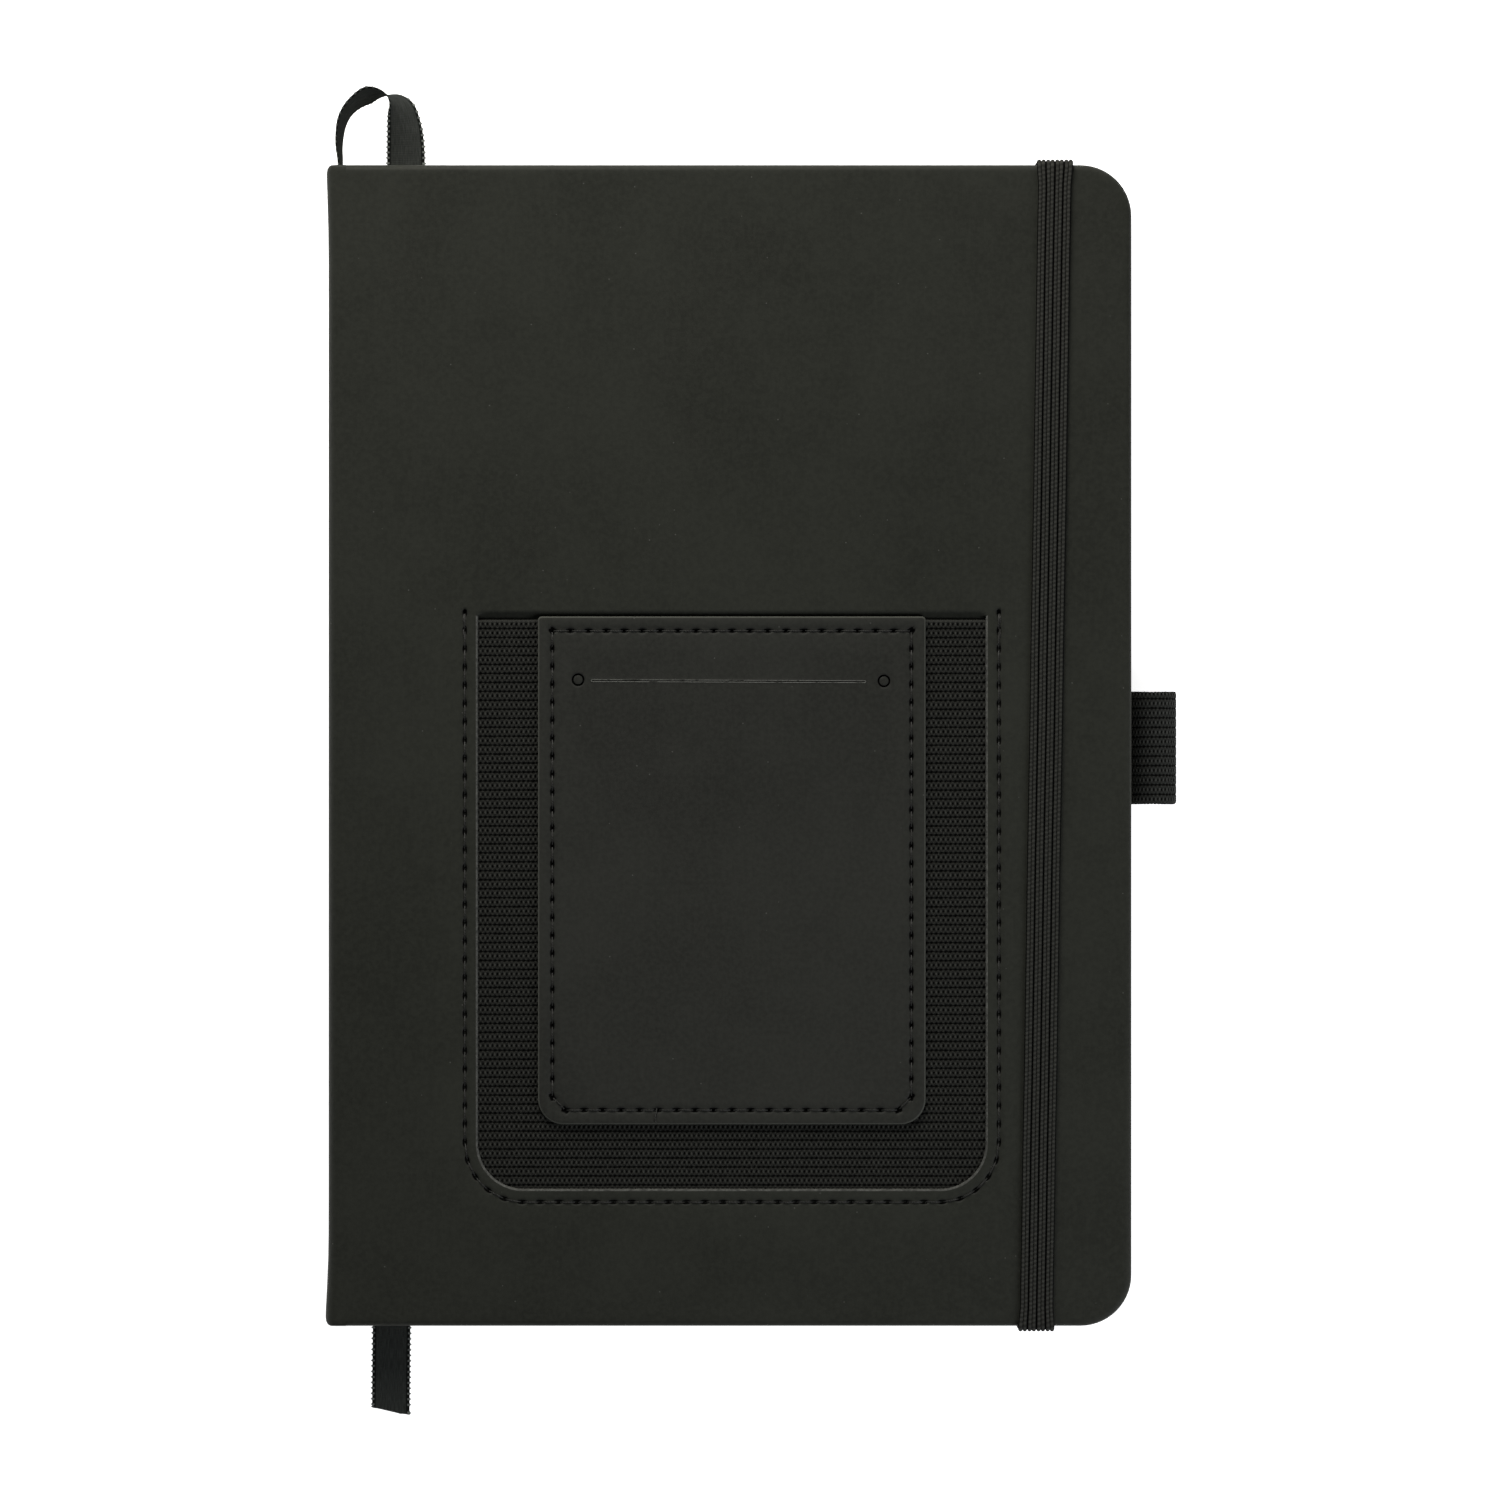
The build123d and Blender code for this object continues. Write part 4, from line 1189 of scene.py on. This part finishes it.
def stitching():
    """The window's and the card panel's seams."""
    bm = bmesh.new()
    for i in range(STITCHES):
        ends = [seam_place(SEAM_START + PITCH * (i + k), 0.0) for k in (0, 1)]
        stitch(bm, *ends, TOP_Z, i)
    for way in (0, 1):                       # backstitched ends
        for i in range(2):
            s = [SEAM_START + PITCH * (i + k) * 0.8 for k in (0, 1)]
            ends = [seam_place(SEAM_LENGTH - v if way else v, 0.22) for v in s]
            stitch(bm, *ends, TOP_Z - 0.05, 200 + 2 * way + i)
    weld(bm)
    close_ends(bm)
    finish_piece(bm, "window_threads", ["cover_thread"], "front_cover", ["window_stitching"])
    bm = bmesh.new()
    number = 0
    for a, b, count in panel_seam_sides():
        for i in range(count):
            stitch(bm, a.lerp(b, i / count), a.lerp(b, (i + 1) / count), PANEL_HIGH.z, number)
            number += 1
    tail = [(-13.2, PANEL_LOW.y + 2.9, -0.3), (-13.3, PANEL_LOW.y + 2.2, 0.12),
            (-13.5, PANEL_LOW.y + 1.2, 0.3), (-13.35, PANEL_LOW.y + 0.3, 0.3)]
    thread_tube(bm, [Vector((x, y, PANEL_HIGH.z + z)) for x, y, z in tail], mm("thread") / 2.2)
    weld(bm)
    close_ends(bm)
    finish_piece(
        bm, "card_panel_threads", ["panel_thread"], "phone_pocket", ["card_panel_stitching"]
    )


# ---- Pocket elastic ---------------------------------------------------------------------
KNIT_STEP = 0.2165                           # the sheets' mesh, along a row
KNIT_STEP_SHARE = 0.935                      # and across the rows, against that


def knit_height(x, y):
    """Relief of the knitted elastic, below its highest strands."""
    across = cos(tau * x / mm("knit_column"))
    along = cos(tau * y / mm("knit_row"))
    gap = smooth(0.3, 1.0, across * along)
    line = smooth(0.75, 1.0, along)
    return -mm("knit_relief") * (gap + 0.45 * line)


def knit_strip(name, corners, body, replaced, step=KNIT_STEP):
    """A sheet of elastic over four corners (x, y), lower left, lower right, upper right, upper left."""
    low_left, low_right, high_right, high_left = (Vector(c) for c in corners)
    wide = max((low_right - low_left).length, (high_right - high_left).length)
    tall = max((high_left - low_left).length, (high_right - low_right).length)
    columns, lines = ceil(wide / step), ceil(tall / (step * KNIT_STEP_SHARE))
    top = KNIT_HIGH.z - 0.03
    hem_y = KNIT_HIGH.y
    rows = []
    for j in range(lines + 1):
        t = j / lines
        a, b = low_left.lerp(high_left, t), low_right.lerp(high_right, t)
        row = []
        for i in range(columns + 1):
            p = a.lerp(b, i / columns)
            to_hem = hem_y - p.y
            relief = knit_height(p.x, p.y) * smooth(0.35, 0.6, to_hem)
            hem = -0.2 * (1 - smooth(0.0, 0.16, to_hem))
            row.append(Vector((p.x, p.y, top + relief + hem)))
        rows.append(row)
    bm = bmesh.new()
    loft(bm, rows)
    edge = [e for e in bm.edges if e.is_boundary]
    made = bmesh.ops.extrude_edge_only(bm, edges=edge)
    for vertex in (g for g in made["geom"] if isinstance(g, bmesh.types.BMVert)):
        vertex.co.z = KNIT_LOW.z + 0.02
    close_ends(bm)
    piece = finish_piece(bm, name, ["pocket_elastic"], body, replaced)
    return piece


def pocket_elastic():
    """The elastic's three stretching strips, and its back under the card panel."""
    hidden = 1.0                             # reach under the skin
    y = KNIT_HIGH.y
    left, right, low = PANEL_LOW.x, PANEL_HIGH.x, PANEL_LOW.y
    outer_left, outer_right = WINDOW_LEFT - hidden, WINDOW_RIGHT + hidden
    bottom = WINDOW_BOTTOM - hidden
    start = 2.5                              # the strips stay flat this far inside the window
    mid_y = (y + low) / 2 * MM
    z = KNIT_HIGH.z * MM
    strips = {
        "left": (
            [(outer_left, bottom), (left, low), (left, y), (outer_left, y)],
            ((WINDOW_LEFT + start) * MM, mid_y, z), (left * MM, mid_y, z),
        ),
        "right": (
            [(right, low), (outer_right, bottom), (outer_right, y), (right, y)],
            ((WINDOW_RIGHT - start) * MM, mid_y, z), (right * MM, mid_y, z),
        ),
        "bottom": (
            [(outer_left, bottom), (outer_right, bottom), (right, low), (left, low)],
            (PANEL_X * MM, (WINDOW_BOTTOM + start) * MM, z), (PANEL_X * MM, low * MM, z),
        ),
    }
    for side, (corners, begin, end) in strips.items():
        xs, ys = [c[0] for c in corners], [c[1] for c in corners]
        flat = (min(max(xs) - min(xs), max(ys) - min(ys)), max(max(xs) - min(xs), max(ys) - min(ys)))
        piece = knit_strip(
            f"pocket_knit_{side}", corners, None, [f"pocket_elastic_{side}"],
        )
        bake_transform(piece, "front_cover", "phone_pocket", start=begin, end=end)
    back = [(left, low), (right, low), (right, y), (left, y)]
    knit_strip(
        "pocket_knit_back", back, "phone_pocket", ["pocket_elastic_back"],
        step=2 * KNIT_STEP,
    )


# ---- Closure band -----------------------------------------------------------------------
BAND_WIDTH = 6.0
BAND_THICKNESS = BAND_HIGH.z - BAND_LOW.z
CORD_STEPS = 6                               # mesh steps across a cord


def band_section(width):
    """The band's closed section: across and height, cords above and flat below."""
    cords = sizes().band_cords
    steps = cords * CORD_STEPS
    section = []
    for i in range(steps + 1):
        share = i / steps
        swell = abs(sin(pi * share * cords)) ** 0.6
        pair = 0.35 if round(share * cords) % 2 == 0 else 0.0
        depth = mm("band_relief") * (1 - swell) * (1 + pair)
        section.append(((share - 0.5) * width, BAND_THICKNESS / 2 - depth))
    section += [(width / 2 - 0.1, 0.1 - BAND_THICKNESS / 2), (width / 2 - 0.5, -BAND_THICKNESS / 2),
                (0.5 - width / 2, -BAND_THICKNESS / 2), (0.1 - width / 2, 0.1 - BAND_THICKNESS / 2)]
    return section + section[:1]


def band_centre(y):
    """X of the band's middle line."""
    head = (WRAP_HEAD[0].x + WRAP_HEAD[1].x) / 2
    tail = (WRAP_TAIL[0].x + WRAP_TAIL[1].x) / 2
    head_y, tail_y = WRAP_HEAD[0].y, WRAP_TAIL[1].y
    return tail + (head - tail) * (y - tail_y) / (head_y - tail_y)


def band_piece(name, line, body, replaced):
    """The band's section along a line of (y, z, outward y, outward z)."""
    rows = []
    travelled = [0.0]
    for (y0, z0, *_), (y1, z1, *_) in zip(line, line[1:]):
        travelled.append(travelled[-1] + sqrt((y1 - y0) ** 2 + (z1 - z0) ** 2))
    for y, z, out_y, out_z in line:
        edge = HEAD_Y - abs(y)
        flare = 0.55 * smooth(2.6, 0.2, edge)
        wander = 0.05 * noise.noise(Vector((0.0, y * 0.05, z * 0.3)))
        section = band_section(BAND_WIDTH + flare)
        middle = band_centre(y) + wander
        row = []
        for across, height in section:
            row.append(Vector((middle + across, y + out_y * height, z + out_z * height)))
        rows.append(row)
    bm = bmesh.new()
    loft(bm, rows, uv=lambda i, j: (section_u(i), travelled[j]))
    weld(bm)
    close_ends(bm)
    return finish_piece(bm, name, ["band_elastic"], body, replaced)


def section_u(i):
    """Where a section's point lies across the band's cloth, in millimetres."""
    steps = sizes().band_cords * CORD_STEPS
    return BAND_WIDTH * min(i, steps) / steps


def closure_band():
    """The band's run over the front cover, and its two rises past the covers' edges."""
    half = BAND_THICKNESS / 2
    radius = 1.0
    side = WRAP_HEAD[0].y + half             # middle of the wraps' thickness
    top = BAND_LOW.z + half
    split = BAND_LOW.z - 0.02
    bend = []
    for i in range(7):
        angle = radians(90 * i / 6)
        bend.append((side - radius + radius * cos(angle), top - radius + radius * sin(angle),
                     cos(angle), sin(angle)))
    head = [(side, split, 1.0, 0.0)] + bend
    tail = [(-y, z, -oy, oz) for y, z, oy, oz in reversed(head)]
    steps = 70
    reach = side - radius
    middle = [(reach - 2 * reach * i / steps, top, 0.0, 1.0) for i in range(1, steps)]
    band_piece("closure_band_knit", head + middle + tail, "closure_band", ["band_run"])
    for name, way, box in (("head", 1, WRAP_HEAD), ("tail", -1, WRAP_TAIL)):
        low = box[0].z
        heights = [low + (split - low) * i / 12 for i in range(13)]
        line = [(way * side, z, float(way), 0.0) for z in heights]
        wrap = band_piece(f"band_wrap_knit_{name}", line, "back_cover", [f"band_wrap_{name}"])
        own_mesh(wrap)


# ---- Pen loop ---------------------------------------------------------------------------
def pen_loop_line():
    """The loop's outer line in X and Z: out of the cover, round the ring and back in."""
    points = run((FORE_X - 9, 2.45), (FORE_X - 0.2, 2.45), 20)
    points += turn((FORE_X + 0.1, 3.0), 0.6, -100, -10, 4)
    points += turn((LOOP_X, LOOP_Z), LOOP_OUTER, 196, -122, 110)
    points += run((FORE_X + 1.6, 1.2), (FORE_X - 9, 1.35), 24)
    return points


def pen_loop():
    """Knitted elastic loop for a pen."""
    line = pen_loop_line()
    travelled = distances(line)
    width = LOOP_HIGH.y - LOOP_LOW.y
    across = ceil(width / 0.21)
    row_pitch = mm("knit_row") * LOOP_ROW
    column_pitch = mm("knit_column") * LOOP_COLUMN
    outer, inner = [], []
    thickness = 0.8
    for j in range(across + 1):
        share = j / across
        v = share * width
        end = min(share, 1 - share) * width
        row, back = [], []
        for i, point in enumerate(line):
            before, after = line[max(i - 1, 0)], line[min(i + 1, len(line) - 1)]
            way = (after - before).normalized()
            out = Vector((-way.y, way.x))
            u = travelled[i]
            gap = smooth(0.3, 1.0, cos(tau * u / column_pitch) * cos(tau * v / row_pitch))
            heavy = smooth(0.75, 1.0, cos(tau * v / row_pitch))
            relief = -0.2 * (gap + 0.45 * heavy) - 0.18 * (1 - smooth(0.0, 0.4, end))
            serrated = 0.09 * cos(tau * u / column_pitch) * (1 - smooth(0.0, 0.7, end))
            y = LOOP_LOW.y + v + (serrated if share > 0.5 else -serrated)
            ring = smooth(FORE_X, FORE_X + 1.0, point.x)
            place = point + out * (relief * ring)
            deep = point - out * thickness
            row.append(Vector((place.x, y, place.y)))
            back.append(Vector((deep.x, y, deep.y)))
        outer.append(row)
        inner.append(back)
    bm = bmesh.new()
    rows = outer + list(reversed(inner)) + outer[:1]
    heights = [width * j / across for j in range(across + 1)]
    heights += list(reversed(heights)) + heights[:1]
    loft(bm, rows, uv=lambda i, j: (travelled[i], heights[j]))
    weld(bm)
    close_ends(bm)
    finish_piece(bm, "pen_loop_knit", ["loop_elastic"], "back_cover", ["pen_loop"])


# ---- Ribbon -----------------------------------------------------------------------------
# The ribbon's route in metres, from the glue on the spine, out at the head, back between the
# leaves and out at the tail, each point with the ribbon's tilt from flat in degrees.
LEAVES_Z = 0.00738                           # between the two halves of the block
RIBBON_ROUTE = [
    ((-0.070475, 0.0920, LEAVES_Z), 90),
    ((-0.070475, 0.1055, LEAVES_Z), 84),
    ((-0.071000, 0.1090, LEAVES_Z), 80),
    ((-0.070200, 0.1144, LEAVES_Z), 74),
    ((-0.066500, 0.1178, LEAVES_Z), 64),
    ((-0.062700, 0.1184, LEAVES_Z), 92),
    ((-0.059700, 0.1165, LEAVES_Z), 135),
    ((-0.058900, 0.1120, LEAVES_Z), 156),
    ((-0.058700, 0.1075, LEAVES_Z), 172),
    ((-0.058750, 0.1030, LEAVES_Z), 180),
    ((-0.058850, 0.0980, LEAVES_Z), 180),
    ((-0.059450, 0.0450, LEAVES_Z), 180),
    ((-0.060100, -0.0080, LEAVES_Z), 180),
    ((-0.060750, -0.0600, LEAVES_Z), 180),
    ((-0.061300, -0.1040, LEAVES_Z), 180),
    ((-0.061400, -0.1110, 0.00732), 180),
    ((-0.061450, -0.1160, 0.00700), 180),
    ((-0.061500, -0.1207, 0.00650), 180),
]


def ribbon_centreline():
    """Points of a smooth spline through the ribbon's route."""
    curve = bpy.data.curves.new("ribbon_route", "CURVE")
    curve.dimensions = "3D"
    curve.resolution_u = 24
    spline = curve.splines.new("NURBS")
    spline.points.add(len(RIBBON_ROUTE) - 1)
    for point, (place, _) in zip(spline.points, RIBBON_ROUTE):
        point.co = (*place, 1.0)
    spline.order_u = 3
    spline.use_endpoint_u = True
    guide = bpy.data.objects.new("ribbon_route", curve)
    bpy.context.scene.collection.objects.link(guide)
    bpy.context.view_layer.update()
    mesh = bpy.data.meshes.new_from_object(guide)
    points = [v.co.copy() for v in mesh.vertices]
    bpy.data.objects.remove(guide)
    bpy.data.meshes.remove(mesh)
    return points


def resampled(points, step):
    """The same line with evenly spaced points, each with its tilt, and its whole length."""
    lengths = distances(points)
    count = ceil(lengths[-1] / step)
    made, tilts, k = [], [], 0
    for i in range(count + 1):
        s = lengths[-1] * i / count
        while k < len(lengths) - 2 and lengths[k + 1] < s:
            k += 1
        share = min((s - lengths[k]) / (lengths[k + 1] - lengths[k]), 1.0)
        made.append(points[k].lerp(points[k + 1], share))
        tilts.append(ribbon_tilt((k + share) / (len(points) - 1)))
    return made, tilts, lengths[-1]


def ribbon_tilt(share):
    """The ribbon's tilt, at a share of the way through the route's points."""
    at = share * (len(RIBBON_ROUTE) - 1)
    k = min(int(at), len(RIBBON_ROUTE) - 2)
    before, after = RIBBON_ROUTE[k][1], RIBBON_ROUTE[k + 1][1]
    return radians(before + (after - before) * (at - k))


def ribbon():
    """Satin ribbon marker, on edge where it leaves the spine and flat between the leaves."""
    path = ribbon_centreline()
    line, tilts, total = resampled(path, 0.25 * MM)
    for _ in range(8):                       # ease the twist along the ribbon
        tilts = [
            (tilts[max(i - 1, 0)] + 2 * t + tilts[min(i + 1, len(tilts) - 1)]) / 4
            for i, t in enumerate(tilts)
        ]
    half = mm("ribbon_width") / 2
    thick = mm("ribbon_thickness") / 2
    shares = [-1.0, -0.95, -0.86, -0.7, -0.5, -0.25, 0.0, 0.25, 0.5, 0.7, 0.86, 0.95, 1.0]
    rows = []
    for i, point in enumerate(line):
        way = (line[min(i + 1, len(line) - 1)] - line[max(i - 1, 0)]).normalized()
        level_side = Vector((-way.y, way.x, 0.0)).normalized()
        across = (level_side * cos(tilts[i]) + Vector((0, 0, 1)) * sin(tilts[i])).normalized()
        face = across.cross(way).normalized()
        s = i * total / (len(line) - 1) / MM
        picot = mm("picot") * smooth(0.2, 0.8, sin(tau * s))
        left = len(line) - 1 - i
        cut = smooth(0.0, 5.0, left)
        ring = []
        for way_up, order in ((1, shares), (-1, reversed(shares))):
            for share in order:
                edge = abs(share) == 1.0
                reach = share * (half + (picot if edge else 0.0))
                thin = 0.25 if edge else 1.0
                slant = (1 - cut) * share * half * 0.2
                fray = (1 - cut) * 0.2 * noise.noise(Vector((share * 9.0, 4.2, 0.0)))
                place = point / MM + across * reach + face * (way_up * thick * thin)
                ring.append(place + way * (fray - slant))
        rows.append(ring + ring[:1])
    order = shares + list(reversed(shares)) + shares[:1]
    bm = bmesh.new()
    loft(bm, rows, uv=lambda i, j: (order[i] * half, j * total / (len(line) - 1) / MM))
    weld(bm, 0.001)
    close_ends(bm)
    piece = finish_piece(
        bm, "ribbon_marker", ["satin_ribbon"], "back_cover", ["ribbon_loop", "ribbon_strip"]
    )
    [tuple(p) for p in line[::4] + line[-1:]]


# ---- Pieces kept from the CAD model -----------------------------------------------------
def dress_nodes():
    """Finishes for the boards, leaves, endpapers, lining and sewing."""
    wear = {
        "greyboard": ["back_board", "front_board"],
        "spine_board": ["spine_card"],
        "endpaper": ["back_pastedown", "front_pastedown", "rear_flyleaf", "front_flyleaf"],
        "page_paper": [f"signature_{i:02d}" for i in range(1, 11)],
        "book_thread": ["rear_sewing_thread", "front_sewing_thread"],
        "gauze": ["rear_spine_lining", "front_spine_lining"],
        "band_elastic": ["band_anchor_head", "band_anchor_tail"],
    }
    for finish, nodes in wear.items():
        for node in nodes:
            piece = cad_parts[node]
            piece.data.materials.clear()
            piece.data.materials.append(material(finish))


# ---- Stage ------------------------------------------------------------------------------
FRAME_WIDTH = 270.7                          # seen by the camera, at the cover's face
VIEW_X, VIEW_Y = 3.63, -0.82
LENS = 240.0
SENSOR = 36.0
FLOOR_SIZE = 4000
AIR_COLOUR, AIR_STRENGTH = (0.96, 0.98, 1.0, 1.0), 0.115
# Name, place, target, size, power and tint.
SOFTBOXES = [
    ("key_light", (-0.12, 0.46, 0.29), (-0.01, 0.10, 0), (0.3, 0.3), 3.3, (1.0, 0.985, 0.93)),
    ("fill_light", (0.33, -0.29, 0.29), (0.07, -0.09, 0), (0.3, 0.3), 1.25, (0.93, 0.96, 1.0)),
    ("rim_light", (-0.85, -0.05, 0.30), (0, 0, 0), (0.3, 0.6), 0.7, (0.9, 0.96, 1.0)),
]


def floor():
    bm = bmesh.new()
    bmesh.ops.create_grid(bm, x_segments=8, y_segments=8, size=FLOOR_SIZE)
    piece = finish_piece(bm, "studio_floor", ["studio_floor"], None)


def softbox(name, place, target, size, power, tint):
    light = bpy.data.lights.new(name, "AREA")
    light.shape = "RECTANGLE"
    light.size, light.size_y = size
    light.energy = power
    light.color = tint
    lamp = bpy.data.objects.new(name, light)
    bpy.context.scene.collection.objects.link(lamp)
    lamp.location = place
    lamp.rotation_euler = (Vector(target) - Vector(place)).to_track_quat("-Z", "Y").to_euler()


def camera():
    made = bpy.data.cameras.new("camera")
    made.lens, made.sensor_width = LENS, SENSOR
    distance = FRAME_WIDTH * LENS / SENSOR
    holder = bpy.data.objects.new("camera", made)
    bpy.context.scene.collection.objects.link(holder)
    holder.location = (VIEW_X * MM, VIEW_Y * MM, (TOP_Z + distance) * MM)
    bpy.context.scene.camera = holder


def studio():
    """Floor, soft light and camera."""
    floor()
    world = bpy.data.worlds.new("studio_air")
    bpy.context.scene.world = world
    world.use_nodes = True
    air = world.node_tree.nodes["Background"].inputs
    air["Color"].default_value, air["Strength"].default_value = AIR_COLOUR, AIR_STRENGTH
    for lamp in SOFTBOXES:
        softbox(*lamp)
    camera()
    view = bpy.context.scene.view_settings
    view.view_transform = "Standard"
    view.look = "None"


# ---- Operators --------------------------------------------------------------------------
class NOTEBOOK_OT_materials(bpy.types.Operator):
    """Build the notebook's materials and their shared node groups"""

    bl_idname = "notebook.materials"
    bl_label = "Materials"
    bl_options = {"REGISTER", "UNDO"}

    def execute(self, context):
        build_materials()
        return {"FINISHED"}


class NOTEBOOK_OT_ribbon(bpy.types.Operator):
    """Make the ribbon marker"""

    bl_idname = "notebook.ribbon"
    bl_label = "Ribbon"
    bl_options = {"REGISTER", "UNDO"}

    def execute(self, context):
        ribbon()
        return {"FINISHED"}


class NOTEBOOK_OT_covers(bpy.types.Operator):
    """Make the skins of both covers and the spine"""

    bl_idname = "notebook.covers"
    bl_label = "Covers"
    bl_options = {"REGISTER", "UNDO"}

    def execute(self, context):
        front_cover()
        back_cover()
        spine_pieces()
        return {"FINISHED"}


class NOTEBOOK_OT_pocket(bpy.types.Operator):
    """Make the phone pocket's elastic and its card panel"""

    bl_idname = "notebook.pocket"
    bl_label = "Phone Pocket"
    bl_options = {"REGISTER", "UNDO"}

    def execute(self, context):
        card_panel()
        pocket_elastic()
        return {"FINISHED"}


class NOTEBOOK_OT_stitching(bpy.types.Operator):
    """Sew the window's and the card panel's seams"""

    bl_idname = "notebook.stitching"
    bl_label = "Stitching"
    bl_options = {"REGISTER", "UNDO"}

    def execute(self, context):
        stitching()
        return {"FINISHED"}


class NOTEBOOK_OT_band(bpy.types.Operator):
    """Make the closure band"""

    bl_idname = "notebook.band"
    bl_label = "Closure Band"
    bl_options = {"REGISTER", "UNDO"}

    def execute(self, context):
        closure_band()
        return {"FINISHED"}


class NOTEBOOK_OT_pen_loop(bpy.types.Operator):
    """Make the pen loop"""

    bl_idname = "notebook.pen_loop"
    bl_label = "Pen Loop"
    bl_options = {"REGISTER", "UNDO"}

    def execute(self, context):
        pen_loop()
        return {"FINISHED"}


class NOTEBOOK_OT_block(bpy.types.Operator):
    """Finish the boards, leaves and sewing"""

    bl_idname = "notebook.block"
    bl_label = "Boards and Leaves"
    bl_options = {"REGISTER", "UNDO"}

    def execute(self, context):
        dress_nodes()
        return {"FINISHED"}


class NOTEBOOK_OT_stage(bpy.types.Operator):
    """Set up the floor, lights and camera"""

    bl_idname = "notebook.stage"
    bl_label = "Stage"
    bl_options = {"REGISTER", "UNDO"}

    def execute(self, context):
        studio()
        return {"FINISHED"}


OPERATORS = [
    NOTEBOOK_OT_materials,
    NOTEBOOK_OT_stage,
    NOTEBOOK_OT_ribbon,
    NOTEBOOK_OT_covers,
    NOTEBOOK_OT_pocket,
    NOTEBOOK_OT_stitching,
    NOTEBOOK_OT_band,
    NOTEBOOK_OT_pen_loop,
    NOTEBOOK_OT_block,
]


class NOTEBOOK_PT_sidebar(bpy.types.Panel):
    """The notebook's pieces, sizes and colours"""

    bl_idname = "NOTEBOOK_PT_sidebar"
    bl_label = "Pocket Notebook"
    bl_space_type = "VIEW_3D"
    bl_region_type = "UI"
    bl_category = "Notebook"

    def draw(self, context):
        for operator in OPERATORS:
            self.layout.operator(operator.bl_idname)
        for group in (context.scene.notebook_sizes, context.scene.notebook_colours):
            column = self.layout.column()
            for name in group.__annotations__:
                column.prop(group, name)


CLASSES = [NotebookSizes, NotebookColours, *OPERATORS, NOTEBOOK_PT_sidebar]


def register():
    for item in CLASSES:
        bpy.utils.register_class(item)
    bpy.types.Scene.notebook_sizes = bpy.props.PointerProperty(type=NotebookSizes)
    bpy.types.Scene.notebook_colours = bpy.props.PointerProperty(type=NotebookColours)


def unregister():
    del bpy.types.Scene.notebook_colours
    del bpy.types.Scene.notebook_sizes
    for item in reversed(CLASSES):
        bpy.utils.unregister_class(item)


def main():
    register()
    for operator in OPERATORS:
        group, name = operator.bl_idname.split(".")
        getattr(getattr(bpy.ops, group), name)()


if __name__ == "__main__":
    main()
